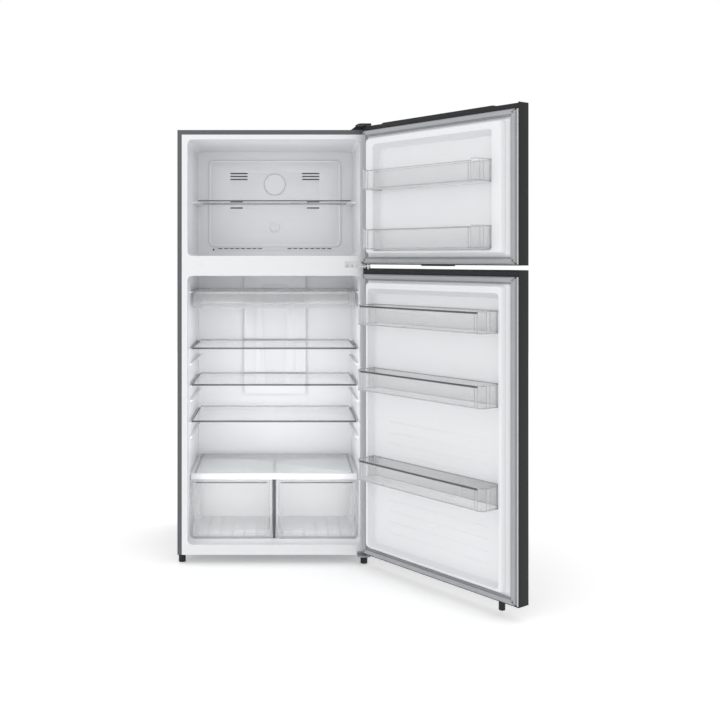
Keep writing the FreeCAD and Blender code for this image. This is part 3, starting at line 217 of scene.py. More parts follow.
def use(piece, kind, **settings):
    """Adds a modifier, sets it and applies it."""
    select_only(piece)
    made = piece.modifiers.new(kind.title(), kind)
    for name, value in settings.items():
        setattr(made, name, value)
    bpy.ops.object.modifier_apply(modifier=made.name)
    return piece


def soften(piece, width, segments=2, limit=30):
    """Rounds every sharp edge a little, as moulding or folding leaves it."""
    use(
        piece, "BEVEL", width=width, segments=segments, limit_method="ANGLE",
        angle_limit=math.radians(limit), miter_outer="MITER_ARC", use_clamp_overlap=True,
    )
    select_only(piece)
    bpy.ops.object.shade_smooth_by_angle(angle=math.radians(35))
    return piece


def carve(piece, *tools):
    """Cuts the tools out of a piece and removes them."""
    for tool in tools:
        use(piece, "BOOLEAN", operation="DIFFERENCE", solver="EXACT", object=tool)
        bpy.data.objects.remove(tool)
    return piece


def join(name, pieces):
    """Several pieces as one."""
    bpy.ops.object.select_all(action="DESELECT")
    for piece in pieces:
        piece.select_set(True)
    bpy.context.view_layer.objects.active = pieces[0]
    bpy.ops.object.join()
    pieces[0].name = name
    return pieces[0]


def inset(thickness, depth=0):
    bpy.ops.mesh.inset(thickness=thickness, depth=depth)


def push(move):
    """Extrudes the selected faces by a move in metres."""
    bpy.ops.mesh.extrude_region_move(TRANSFORM_OT_translate={"value": move})


def hollow(piece, opening, wall, depth):
    """Sinks the faces that look along opening, all but a rim as wide as the wall."""
    with shaping(piece, "FACE", facing(opening)):
        inset(wall)
        push(-opening * depth)
    return piece


def pierce(piece, axis, width):
    """Opens a plate along an axis, and leaves a rim of this width."""
    with shaping(piece, "FACE", either_way(axis)):
        inset(width)
        bpy.ops.mesh.bridge_edge_loops()
    return piece


def ring(name, low, high, axis, radius, width):
    """A frame with round corners, open along an axis."""
    return pierce(rounded(name, low, high, axis, radius), axis, width)


def swing(piece):
    """Moves a door piece from shut to open, with its place in its mesh."""
    select_only(piece)
    piece.matrix_world = SWING @ piece.matrix_world
    bpy.ops.object.transform_apply(location=True, rotation=True, scale=True)
    return piece


def settle(piece, body, material, slot, *nodes):
    """Gives a finished piece its material and its body, and hides the CAD nodes that it stands for.
    """
    piece.data.materials.clear()
    piece.data.materials.append(material)
    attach(piece, body)
    if nodes:
        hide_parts(*nodes)
    return piece


def white_part(piece, *nodes):
    """Settles a moulded white part on the cabinet."""
    return settle(piece, "cabinet", moulded_abs_white(), "trim_plastic", *nodes)


# ---------------------------------------------------------------- materials


def add_node(tree, kind, inputs=None, **settings):
    """Adds one node with its settings, its values and its links."""
    made = tree.nodes.new(kind)
    for name, value in settings.items():
        setattr(made, name, value)
    for name, value in (inputs or {}).items():
        if isinstance(value, bpy.types.NodeSocket):
            tree.links.new(value, made.inputs[name])
        else:
            made.inputs[name].default_value = value
    return made


def new_material(name):
    """A cached empty material, and whether it was just made."""
    found = bpy.data.materials.get(name)
    if found:
        return found, False
    made = bpy.data.materials.new(name)
    made.use_nodes = True
    made.node_tree.nodes.clear()
    return made, True


def shade_of(base, factor):
    return (*[min(1.0, part * factor) for part in base[:3]], 1.0)


def surface(name, base, roughness, grain, bump, spread=0.06, patch=180, **sockets):
    """A surface with a grain of a real size and slow changes of tone and gloss over patches.

    grain and patch are in millimetres, bump is the height of the grain in millimetres.
    """
    material, fresh = new_material(name)
    if not fresh:
        return material
    tree = material.node_tree
    place = add_node(tree, "ShaderNodeTexCoord").outputs["Object"]
    slow = add_node(
        tree, "ShaderNodeTexNoise", {"Vector": place, "Scale": 1 / (patch * MM), "Detail": 3.0}
    )
    fine = add_node(
        tree, "ShaderNodeTexNoise", {"Vector": place, "Scale": 1 / (grain * MM), "Detail": 2.0}
    )
    tone = add_node(
        tree, "ShaderNodeMix",
        {"Factor": slow.outputs["Fac"], "A": shade_of(base, 1 - spread),
         "B": shade_of(base, 1 + spread)},
        data_type="RGBA",
    )
    gloss = add_node(
        tree, "ShaderNodeMapRange",
        {"Value": slow.outputs["Fac"], "To Min": roughness * 0.85, "To Max": roughness * 1.15},
    )
    relief = add_node(
        tree, "ShaderNodeBump",
        {"Height": fine.outputs["Fac"], "Distance": bump * MM, "Strength": 1.0},
    )
    shader = add_node(
        tree, "ShaderNodeBsdfPrincipled",
        {"Base Color": tone.outputs["Result"], "Roughness": gloss.outputs["Result"],
         "Normal": relief.outputs["Normal"], **sockets},
    )
    add_node(tree, "ShaderNodeOutputMaterial", {"Surface": shader.outputs["BSDF"]})
    return material


def film(name, base, face_on, edge_on, roughness, waves=90, **sockets):
    """A clear sheet that shows more of itself where it is seen along its surface."""
    material, fresh = new_material(name)
    if not fresh:
        return material
    tree = material.node_tree
    place = add_node(tree, "ShaderNodeTexCoord").outputs["Object"]
    ripple = add_node(
        tree, "ShaderNodeTexNoise", {"Vector": place, "Scale": 1 / (waves * MM), "Detail": 2.0}
    )
    relief = add_node(
        tree, "ShaderNodeBump",
        {"Height": ripple.outputs["Fac"], "Distance": 0.1 * MM, "Strength": 0.3},
    )
    tone = add_node(
        tree, "ShaderNodeMix",
        {"Factor": ripple.outputs["Fac"], "A": shade_of(base, 0.96), "B": shade_of(base, 1.0)},
        data_type="RGBA",
    )
    weight = add_node(tree, "ShaderNodeLayerWeight", {"Blend": 0.35})
    cover = add_node(
        tree, "ShaderNodeMapRange",
        {"Value": weight.outputs["Facing"], "To Min": face_on, "To Max": edge_on},
    )
    shader = add_node(
        tree, "ShaderNodeBsdfPrincipled",
        {"Base Color": tone.outputs["Result"], "Roughness": roughness,
         "Alpha": cover.outputs["Result"], "Normal": relief.outputs["Normal"], **sockets},
    )
    add_node(tree, "ShaderNodeOutputMaterial", {"Surface": shader.outputs["BSDF"]})
    return material


def powder_coat_grey():
    # powder-coated steel: an even satin with a fine orange peel, drawn at 1.2 mm
    return surface("powder_coated_steel_grey", colours().cabinet, 0.42, 1.2, 0.05, IOR=1.5)


def powder_coat_dark():
    # the same coat on the doors, darker and a little glossier
    return surface(
        "powder_coated_steel_dark", colours().door, 0.4, 1.2, 0.04, IOR=1.5,
        **{"Specular IOR Level": 0.22},
    )


def moulded_abs_dark():
    # moulded ABS with a fine spark-eroded texture that breaks its highlights
    return surface(
        "moulded_abs_dark", colours().caps, 0.55, 0.9, 0.06, IOR=1.54, **{"Specular IOR Level": 0.3}
    )


def liner_polystyrene():
    # vacuum-formed high impact polystyrene: semi-gloss, slightly wavy where it was drawn
    return surface("formed_polystyrene_liner", colours().liner, 0.32, 14, 0.05, 0.015, 260, IOR=1.59)


def moulded_abs_white():
    # injection-moulded white ABS: whiter and smoother than the liner
    return surface("moulded_abs_white", colours().trim, 0.4, 2.0, 0.008, 0.004, 240, IOR=1.54)


def gasket_vinyl():
    # extruded soft vinyl over a magnet strip: dull, with faint bands of handling
    return surface("extruded_vinyl_gasket", colours().gasket, 0.62, 1.6, 0.05, 0.07, 60, IOR=1.53)


def gasket_flange():
    # the same vinyl in the shade of its own fold
    return surface("vinyl_gasket_fold", shade_of(colours().gasket, 0.8), 0.7, 1.6, 0.05, 0.07, 60)


def rail_trim():
    # smoked styrene strip pressed on the glass and the bins: dark, semi-gloss
    return surface("smoked_styrene_rail", colours().rail, 0.3, 1.5, 0.02, 0.05, 80, IOR=1.59)


def clear_polystyrene():
    # crystal polystyrene: clear face on, milky along its edges
    return film("crystal_polystyrene", colours().clear, 0.11, 0.6, 0.12, IOR=1.59)


def clear_polystyrene_rim():
    # where the same plastic is thick or ribbed, more of it shows; its colour is darkened as painted
    # shade of its thick edges
    return film("crystal_polystyrene_rim", shade_of(colours().clear, 0.66), 0.38, 0.8, 0.18, IOR=1.59)


def float_glass():
    # toughened float glass: nearly clear, with green in its edges
    return film("toughened_float_glass", colours().glass, 0.02, 0.12, 0.03, 900, IOR=1.52)


def frosted_glass():
    # the same glass etched on its underside, so the drawers below only show faintly
    return film("frosted_float_glass", srgb("eef1f1"), 0.42, 0.5, 0.25, 900, IOR=1.52)


def crisper_trim():
    # the liner's plastic with painted shade, as it is under the shelves: a little greyer than the
    # trim above
    pale = shade_of(colours().trim, 0.74)
    return surface("moulded_abs_painted_shade", pale, 0.45, 2.0, 0.008, 0.01, 200, IOR=1.54)


def galvanised_steel():
    # hot-dip zinc: soft grey metal with spangle some 9 mm across
    return surface("galvanised_steel", srgb("a9acae"), 0.45, 9, 0.02, 0.16, 12, Metallic=0.9)


def plated_hinge_steel():
    # nickel-plated pressing: bright, with fine drawing marks
    return surface("plated_hinge_steel", srgb("c9cacb"), 0.24, 0.8, 0.02, 0.08, 20, Metallic=1.0)


def aluminium_fins():
    # mill-finish aluminium tube and fins
    return surface("mill_aluminium", srgb("cdd0d2"), 0.35, 1.0, 0.02, 0.08, 25, Metallic=1.0)


def copper_pipe():
    # drawn copper, dulled by handling
    return surface("drawn_copper", srgb("b8734f"), 0.3, 2.5, 0.03, 0.18, 30, Metallic=1.0)


def black_enamel():
    # baked black enamel on the compressor's pressed shell
    return surface("baked_black_enamel", srgb("17181a"), 0.3, 2.0, 0.03, 0.1, 60, IOR=1.5)


def black_rubber():
    # moulded rubber, dull and slightly dusty
    return surface("moulded_rubber_black", srgb("1c1c1d"), 0.8, 1.2, 0.08, 0.2, 30)


def black_nylon():
    # glass-filled nylon of the feet: black with a coarse matt skin
    return surface("filled_nylon_black", srgb("151516"), 0.6, 0.8, 0.08, 0.15, 25)


def poured_foam():
    # polyurethane foam: straw-coloured, with cells drawn at 3 mm
    return surface("poured_polyurethane_foam", srgb("d9c48c"), 0.9, 3, 0.5, 0.12, 40)


def steel_heater():
    # stainless sheath, straw-brown from heat
    return surface("heated_stainless_sheath", srgb("6f665c"), 0.35, 2.0, 0.02, 0.2, 40, Metallic=1.0)


def shaded_groove():
    # the channel between the drawers, dark from its depth
    return surface("shaded_groove", srgb("5a5c60"), 0.7, 2.0, 0.05)


def dark_slot():
    # the shaded inside of an air slot
    return surface("shaded_slot", srgb("54565a"), 0.8, 2.0, 0.05)


def studio_floor_paint():
    # matt paper sweep
    return surface(
        "studio_paper", srgb("fbfbfb"), 0.9, 4, 0.02, 0.005, 900,
        **{"Emission Color": (1, 1, 1, 1), "Emission Strength": 0.22},
    )


# ---------------------------------------------------------------- door pieces


# half is half a bin's width, bins their lowest and highest levels, all in millimetres
DOORS = {
    "freezer": {"half": 297, "bins": ((1286, 1368), (1520, 1600)), "railed": False},
    "fridge": {"half": 326, "bins": ((382, 463), (734, 815), (991, 1070)), "railed": True},
}
BIN_REACH = 104 * MM
BIN_DROP = 8 * MM
END_GAP = 4 * MM
POST_INSETS = (2 * MM, 14 * MM)
POST_DEPTHS = (0.3, 0.62, 0.8)
POST_HALF = 1.4 * MM
CAP_TOP = 24 * MM
CAP_FOOT = 20 * MM
CAP_LIP = 4 * MM
BORDER = 29 * MM
RING_INSET = 48 * MM
RING_HEIGHT = 33 * MM
RING_CORNER = 15 * MM
RING_RAIL = 14 * MM
FREEZER_RING_TOP = 1732 * MM
# heights of the formed lines below the bins, as shares of the ring's height
LINE_LEVELS = (0.07, 0.11, 0.15, 0.19, 0.36, 0.40, 0.44, 0.48)
LINE_HEIGHT = 6 * MM


def door_range(name):
    low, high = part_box(f"{name}_door_skin")
    return low.z, high.z


def ring_range(name):
    """The heights of the liner's raised ring."""
    low, high = door_range(name)
    if name == "freezer":
        return FREEZER_LOW.z + LINER_WALL + 6 * MM, FREEZER_RING_TOP
    return FRESH_LOW.z + LINER_WALL + 15 * MM, high - CAP_TOP - 28 * MM


def door_skin(name):
    """Painted steel sheet folded round the door's front and sides."""
    low, high = door_range(name)
    skin = block(f"{name}_door_sheet", (-HALF, DOOR_FRONT, low), (HALF, DOOR_BACK, high))
    round_edges(skin, Z, 5 * MM, 5, lambda edge: edge.verts[0].co.y < DOOR_FRONT + STEEL)
    with shaping(skin, "FACE", lambda f: abs(f.normal.z) > 0.99 or f.normal.y > 0.99):
        bpy.ops.mesh.delete(type="FACE")
    use(skin, "SOLIDIFY", thickness=STEEL, offset=-1.0)
    soften(skin, 0.3 * MM, 1)
    settle(swing(skin), f"{name}_door", powder_coat_dark(), "door_paint", f"{name}_door_skin")


def door_caps(name):
    """End caps: the top one is higher in its middle, the upper door's lower one has a grip lip."""
    low, high = door_range(name)
    side = HALF - STEEL * 1.2
    front = DOOR_FRONT + STEEL * 1.2
    top = block(
        f"{name}_cap_upper", (-side, front, high - CAP_TOP), (side, DOOR_BACK, high - 4 * MM)
    )
    crown_half = HALF * 0.72
    crown = block(
        f"{name}_cap_crown", (-crown_half, front, high - 6 * MM), (crown_half, DOOR_BACK, high)
    )
    round_edges(crown, Y, 3 * MM, 3)
    bottom = block(
        f"{name}_cap_lower", (-side, front, low), (side, DOOR_BACK - 2 * MM, low + CAP_FOOT)
    )
    lip = block(
        f"{name}_cap_edge", (-side, DOOR_BACK - 4 * MM, low), (side, DOOR_BACK, low + CAP_LIP)
    )
    parts = [top, crown, bottom, lip]
    if name == "freezer":
        grip = 70 * MM
        parts.append(rounded(
            "grip_lip", (-grip, -50 * MM, low - 4 * MM), (grip, -14 * MM, low), Y, 3 * MM, 4
        ))
    caps = join(f"{name}_end_caps", [soften(part, 1.2 * MM) for part in parts])
    settle(swing(caps), f"{name}_door", moulded_abs_dark(), "dark_plastic", f"{name}_door_end_caps")


def form_steps(first, *steps):
    """Draws the selected face, which faces +Y, through steps.

    A step is the half width, lowest and highest level it ends at, and its rise. The first is the
    face as it is, without a rise.
    """
    starts = ((*first, 0), *steps)
    for (old_half, old_low, old_high, _), (half, low, high, rise) in zip(starts, steps):
        old_middle = (old_low + old_high) / 2
        push((0, rise, 0))
        bpy.ops.transform.resize(
            value=(half / old_half, 1, (high - low) / (old_high - old_low)),
            center_override=(0, 0, old_middle),
        )
        bpy.ops.transform.translate(value=(0, 0, (low + high) / 2 - old_middle))


def liner_panel(name):
    """The panel's border and its raised ring, with round corners, sloping sides and a sunk field."""
    low, high = door_range(name)
    ring_low, ring_high = ring_range(name)
    border = HALF - 1.2 * STEEL
    bottom, top = low + CAP_LIP, high - CAP_TOP
    panel = block(
        f"{name}_door_panel", (-border, DOOR_BACK - LINER_WALL, bottom), (border, DOOR_BACK, top)
    )
    foot = HALF - BORDER
    inner = DOORS[name]["half"] * MM + END_GAP
    crest = min(HALF - RING_INSET - 2 * MM, inner + 46 * MM)
    reach = foot - (HALF - RING_INSET)
    foot_low, foot_high = ring_low - reach * 0.4, ring_high + reach * 0.4
    field_low, field_high = ring_low + RING_RAIL, ring_high - RING_RAIL
    with shaping(panel, "FACE", facing(Y)):
        form_steps((border, bottom, top), (foot, foot_low, foot_high, 0))
    in_foot = lambda point: abs(point.x) < foot + MM and foot_low - MM < point.z < foot_high + MM
    at_corner = lambda vert: (
        vert.co.y > DOOR_BACK - 0.1 * MM and abs(vert.co.x) > foot - 0.1 * MM and in_foot(vert.co)
    )
    with shaping(panel, "VERT", at_corner):
        bpy.ops.mesh.bevel(offset=RING_CORNER, segments=4, affect="VERTICES")
    middle = lambda face: (
        facing(Y)(face) and all(in_foot(vert.co) for vert in face.verts)
        and face.calc_area() > foot * (foot_high - foot_low)
    )
    with shaping(panel, "FACE", middle):
        form_steps(
            (foot, foot_low, foot_high),
            (foot - reach * 0.8, ring_low, ring_high, 11 * MM),
            (crest + 1.5 * MM, ring_low + 2 * MM, ring_high - 2 * MM, 15 * MM),
            (crest - MM, ring_low + 6 * MM, ring_high - 6 * MM, RING_HEIGHT - 26 * MM),
            (inner + 3 * MM, field_low - 2 * MM, ring_high - RING_RAIL * 2, 0),
            (inner, field_low + 2 * MM, ring_high - RING_RAIL * 2.6, -RING_HEIGHT * 0.6),
            (inner - 5 * MM, field_low + 8 * MM, ring_high - RING_RAIL * 3.4, -RING_HEIGHT * 0.4),
        )
    crown = DOOR_BACK + RING_HEIGHT
    near_crown = lambda edge: all(abs(vert.co.y - crown) < MM for vert in edge.verts)
    with shaping(panel, "EDGE", near_crown):
        bpy.ops.mesh.bevel(offset=4.5 * MM, segments=4, affect="EDGES", clamp_overlap=True)
    return soften(panel, 3 * MM, 3, 22)


def door_liner(name):
    """The formed inner panel with the lugs its bins hang on and, on the lower door, formed lines."""
    ring_low, ring_high = ring_range(name)
    facts = DOORS[name]
    half = facts["half"] * MM
    parts = [liner_panel(name)]
    for _, high_rim in facts["bins"]:
        lug_top = (high_rim - 10) * MM
        for side in (-1, 1):
            ends = sorted((side * (half + 0.5 * MM), side * (half + END_GAP + MM)))
            lug = block(
                f"{name}_lug", (ends[0], DOOR_BACK + 6 * MM, lug_top - 10 * MM),
                (ends[1], DOOR_BACK + RING_HEIGHT - 8 * MM, lug_top),
            )
            parts.append(soften(lug, MM))
    for level in LINE_LEVELS if facts["railed"] else ():
        up = ring_low + (ring_high - ring_low) * level
        line = block(
            f"{name}_rib", (-half * 0.8, DOOR_BACK - 0.5 * MM, up),
            (half * 0.74, DOOR_BACK + 0.8 * MM, up + LINE_HEIGHT),
        )
        parts.append(soften(line, MM, 3))
    liner = swing(join(f"{name}_door_lining", parts))
    settle(liner, f"{name}_door", liner_polystyrene(), "liner_plastic", f"{name}_door_liner")


def door_filling(name):
    """The foam between the sheet and the liner, with the caps at its ends."""
    low, high = door_range(name)
    side = HALF - 3 * STEEL
    fill = rounded(
        f"{name}_door_filling", (-side, DOOR_FRONT + 2 * STEEL, low + CAP_FOOT + MM),
        (side, DOOR_BACK - LINER_WALL - 0.5 * MM, high - CAP_TOP - MM), Z, 3 * MM, 3,
    )
    settle(swing(soften(fill, MM)), f"{name}_door", poured_foam(), "foam", f"{name}_door_foam")


def door_gasket(name):
    """A magnet bead on a folded flange, with a shallow bellows groove between them."""
    low, high = door_range(name)
    outer = HALF - 5 * MM
    bottom, top = low + 5 * MM, high - CAP_TOP + MM
    fold = ring(
        f"{name}_gasket_fold", (-outer, DOOR_BACK, bottom), (outer, DOOR_BACK + 6 * MM, top),
        Y, 4 * MM, 25 * MM,
    )
    settle(swing(soften(fold, 2 * MM, 3)), f"{name}_door", gasket_flange(), "gasket_rubber")
    inset = 3.5 * MM
    bead = ring(
        f"{name}_gasket_bead", (inset - outer, DOOR_BACK + 4 * MM, bottom + inset),
        (outer - inset, -0.8 * MM, top - inset), Y, 4 * MM, 15 * MM,
    )
    soften(bead, 2.8 * MM, 3)
    settle(swing(bead), f"{name}_door", gasket_vinyl(), "gasket_rubber", f"{name}_door_gasket")


def bin_tub(label, half, low, high):
    """The bin's shell: round ends that stand higher than its front, and a hook on each side."""
    back = DOOR_BACK + BIN_REACH
    corner = sizes().bin_corner
    wall = sizes().bin_wall
    flat = half - corner
    tub = block(label + "_tub", (-half, DOOR_BACK + 0.4 * MM, low), (half, back, high))
    round_edges(tub, Z, corner, 8, lambda edge: edge.verts[0].co.y > back - MM)
    hollow(tub, Z, wall, high - low - wall)
    notch = rounded(
        "notch", (-flat, back - 8 * MM, high - BIN_DROP), (flat, back + 5 * MM, high + BIN_DROP),
        Y, 4 * MM, 4,
    )
    carve(tub, notch)
    parts = [soften(tub, 0.8 * MM)]
    for side in (-1, 1):
        ends = sorted((side * (half - MM), side * (half + END_GAP - 0.4 * MM)))
        hook = block(
            "hook", (ends[0], DOOR_BACK + 5 * MM, high - 10 * MM),
            (ends[1], DOOR_BACK + RING_HEIGHT - 7 * MM, high - 6 * MM),
        )
        parts.append(soften(hook, 0.6 * MM))
    return join(label + "_shell", parts)


def bin_ribs(label, half, low, high):
    """What stands proud on the shell: the rims of its floor and its edge, and the upright ribs."""
    back = DOOR_BACK + BIN_REACH
    start = DOOR_BACK + 0.4 * MM
    corner = sizes().bin_corner
    flat = half - corner
    trims = []
    for level, height, width in ((low, 5 * MM, 3 * MM), (high - 3 * MM, 3 * MM, 2.8 * MM)):
        trim = block("trim", (-half, start + 0.5 * MM, level), (half, back, level + height))
        round_edges(trim, Z, corner, 8, lambda edge: edge.verts[0].co.y > back - MM)
        pierce(trim, Z, width)
        if level > low:
            gap = block(
                "gap", (-flat, back - 9 * MM, level - MM), (flat, back + MM, level + height + MM)
            )
            carve(trim, gap)
        trims.append(soften(trim, 0.7 * MM))
    for side in (-1, 1):
        for inward in POST_INSETS:
            across = side * (flat - inward)
            trims.append(rounded(
                "post", (across - POST_HALF, back - 3.2 * MM, low + 4 * MM),
                (across + POST_HALF, back - 0.1 * MM, high - 9 * MM), Z, MM, 3,
            ))
        ends = sorted((side * (half - 3 * MM), side * (half - 0.2 * MM)))
        for deep in POST_DEPTHS:
            at = start + (back - start) * deep
            trims.append(rounded(
                "post", (ends[0], at - POST_HALF, low + 4 * MM),
                (ends[1], at + POST_HALF, high - 4 * MM), Z, MM, 3,
            ))
    return join(label + "_ribs", trims)


def door_bin(name, number, low, high):
    """A clear bin with a rail along its front edge and a thick ledge at its back."""
    railed = DOORS[name]["railed"]
    label = f"{name}_bin_{number}"
    half = DOORS[name]["half"] * MM
    low, high = low * MM, high * MM
    flat = half - sizes().bin_corner
    back = DOOR_BACK + BIN_REACH
    tub = swing(bin_tub(label, half, low, high))
    settle(tub, label, clear_polystyrene(), "clear_plastic", label)
    ribs = swing(bin_ribs(label, half, low, high))
    settle(ribs, label, clear_polystyrene_rim(), "clear_plastic")
    rail_low = high - BIN_DROP - 2 * MM
    rail_high = rail_low + (7 if railed else 4) * MM
    rail = rounded(
        label + "_rail", (MM - flat, back - 4 * MM, rail_low),
        (flat - MM, back + 0.3 * MM, rail_high), X, MM, 3,
    )
    soften(rail, 0.6 * MM)
    material = rail_trim() if railed else clear_polystyrene_rim()
    settle(swing(rail), label, material, "clear_plastic")
    start = DOOR_BACK + 0.4 * MM
    # the ledge's near-white colour is a painted highlight along the bin's foot
    base = block(
        label + "_ledge", (-flat, start + 2 * MM, low - 0.2 * MM),
        (flat, start + 9 * MM, low + 3 * MM),
    )
    settle(swing(soften(base, MM)), label, bright_ledge(), "clear_plastic")


def bright_ledge():
    # the thick moulded foot of a bin, with a painted highlight: opaque and near white where light
    # gathers in it
    return surface("crystal_polystyrene_foot_highlight", srgb("f6f7f8"), 0.3, 2.0, 0.02, 0.02, 60, IOR=1.59)


def support_foot():
    """The peg under the lower door's free side that carries it over a bump."""
    low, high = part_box("fridge_door_support_foot")
    centre = (low + high) / 2
    radius = (high.x - low.x) / 2
    peg = disc("door_support_peg", centre, radius, high.z - low.z, Z, 48)
    hollow(peg, -Z, radius * 0.25, 3 * MM)
    soften(peg, 1.5 * MM, 3)
    settle(peg, "fridge_door", black_nylon(), "black_plastic", "fridge_door_support_foot")


class FRIDGE_OT_doors(bpy.types.Operator):
    """Skins, end caps, liners and gaskets of both doors"""

    bl_idname = "fridge.doors"
    bl_label = "Doors"

    def execute(self, context):
        for name in DOORS:
            door_skin(name)
            door_caps(name)
            door_filling(name)
            door_liner(name)
            door_gasket(name)
        support_foot()
        return {"FINISHED"}


class FRIDGE_OT_bins(bpy.types.Operator):
    """Clear bins on both doors"""

    bl_idname = "fridge.bins"
    bl_label = "Door bins"

    def execute(self, context):
        for name, facts in DOORS.items():
            for number, (low, high) in enumerate(facts["bins"], start=1):
                door_bin(name, number, low, high)
        return {"FINISHED"}


# ---------------------------------------------------------------- cavities


BEAD_CORNER = 20 * MM
SWITCH_PLATE = (-343 * MM, -290 * MM, 1214 * MM, 1237 * MM)


def opening_bead(name, low, high):
    """The rounded front edge of a cavity's lining."""
    width = LINER_WALL + 0.1 * MM
    bead = ring(
        name, (low.x, -0.6 * MM, low.z), (high.x, 3 * MM, high.z), Y, BEAD_CORNER, width
    )
    settle(soften(bead, 0.8 * MM, 3), "cabinet", liner_polystyrene(), "liner_plastic")


class FRIDGE_OT_linings(bpy.types.Operator):
    """Rounded front edges of both cavities, and the door switch's plate between them"""

    bl_idname = "fridge.linings"
    bl_label = "Linings"

    def execute(self, context):
        left, right, bottom, top = SWITCH_PLATE
        plate = rounded(
            "switch_cover", (left, -0.6 * MM, bottom), (right, 0.5 * MM, top), Y, 3 * MM, 4
        )
        white_part(soften(plate, 0.3 * MM, 2))
        wide = OPENING_HALF + LINER_WALL
        for name, low, high in (
            ("freezer_opening_bead", FREEZER_LOW, FREEZER_CEILING),
            ("fresh_opening_bead", FRESH_LOW, FRESH_HIGH),
        ):
            opening_bead(name, Vector((-wide, 0, low.z)), Vector((wide, 0, high.z)))
        return {"FINISHED"}


def slots(piece, places, front, back):
    """Cuts round-ended air slots given as (left, right, low, high)."""
    tools = []
    for left, right, low, high in places:
        radius = (high - low) * 0.49
        tools.append(
            rounded("slot", (left, front - MM, low), (right, back + MM, high), Y, radius, 4)
        )
    return carve(piece, *tools)


VENT_FAR = 204.5 * MM
VENT_HEIGHT = 6 * MM
# levels of the dark sheet behind the air slots, which is painted shade
VENT_SLOT_SHADE = (1470 * MM, 1655 * MM)
# the length of the air slots and the levels of their rows, in millimetres
VENT_ROWS = ((80, 1640), (80, 1626.5), (80, 1613), (58, 1510), (58, 1482))


def vent_places():
    for long, level in VENT_ROWS:
        near = VENT_FAR - long * MM
        low, high = level * MM - VENT_HEIGHT / 2, level * MM + VENT_HEIGHT / 2
        yield near, VENT_FAR, low, high
        yield -VENT_FAR, -near, low, high


def evaporator_cover():
    """The white panel at the freezer's back, with its air slots and a shallow frame."""
    low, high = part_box("evaporator_cover")
    panel = rounded("evaporator_panel", low, high, Y, 20 * MM)
    slots(panel, vent_places(), low.y, high.y)
    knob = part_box("air_control_knob")
    stem = disc("stem_hole", (knob[0] + knob[1]) / 2, 4.6 * MM, 60 * MM, Y, 32)
    carve(panel, stem)
    soften(panel, 1.2 * MM)
    white_part(panel, "evaporator_cover")
    edge = ring(
        "evaporator_edge", (low.x - 9 * MM, low.y - 1.5 * MM, low.z + 2 * MM),
        (high.x + 9 * MM, high.y + 0.5 * MM, high.z + 9 * MM), Y, 26 * MM, 10 * MM,
    )
    settle(soften(edge, 2.6 * MM, 4), "cabinet", liner_polystyrene(), "liner_plastic")
    # a dark sheet just inside the panel, seen through the slots: painted shade of the space behind
    # them
    backing = block(
        "vent_slot_shade", (low.x + 25 * MM, high.y - 1.5 * MM, VENT_SLOT_SHADE[0]),
        (high.x - 25 * MM, high.y - 0.5 * MM, VENT_SLOT_SHADE[1]),
    )
    settle(soften(backing, 0.3 * MM, 1), "cabinet", dark_slot(), "trim_plastic")


FAN_LEVEL = 1589 * MM
FAN_SIDES = 96


def fan_cap():
    """A round cap with a plain face, standing in a slightly wider ring."""
    centre = Vector((0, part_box("fan_cap")[1].y, FAN_LEVEL))
    radius = 47.5 * MM
    depth = 7 * MM
    cap = disc("fan_cap_disc", centre - Y * depth / 2, radius, depth, Y, FAN_SIDES)
    with shaping(cap, "FACE", facing(-Y)):
        inset(5 * MM)
        push((0, 1.2 * MM, 0))
        inset(9 * MM, 0.8 * MM)
    white_part(soften(cap, 0.8 * MM, 3), "fan_cap")
    collar = disc("fan_cap_collar", centre - Y * 2 * MM, radius + 5 * MM, 4 * MM, Y, FAN_SIDES)
    white_part(soften(pierce(collar, Y, 4 * MM), 0.9 * MM, 3))
    # a dark ring in the gap between the cap and its collar: painted shade
    groove = disc("fan_cap_shade_ring", centre - Y * 2.6 * MM, radius + 1.4 * MM, 4 * MM, Y, FAN_SIDES)
    soften(pierce(groove, Y, 1.9 * MM), 0.3 * MM, 2)
    settle(groove, "cabinet", shaded_groove(), "trim_plastic")


def control_knob():
    """The air control knob with a raised grip across it, in a thin ring."""
    low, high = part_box("air_control_knob")
    centre = Vector((0, 0, (low.z + high.z) / 2))
    face = 480.7 * MM
    radius = (high.x - low.x) / 2
    dial = disc("knob_dial", centre + Y * (face - 3 * MM), radius, 6 * MM, Y, 64)
    soften(dial, 1.6 * MM, 3)
    grip = rounded(
        "knob_grip", (-4 * MM, low.y, centre.z - radius * 0.75),
        (4 * MM, face - 4 * MM, centre.z + radius * 0.92), Y, 3.6 * MM,
    )
    soften(grip, 1.2 * MM, 3)
    stem = disc("knob_stem", centre + Y * (face + 4 * MM), 3.95 * MM, 9 * MM, Y, 32)
    knob = join("control_knob", [dial, grip, stem])
    settle(knob, "air_control_knob", moulded_abs_white(), "trim_plastic", "air_control_knob")
    halo = disc("knob_halo", centre + Y * (face + 0.5 * MM), radius + 7 * MM, 1.2 * MM, Y, 64)
    white_part(soften(pierce(halo, Y, 5 * MM), 0.4 * MM, 2))


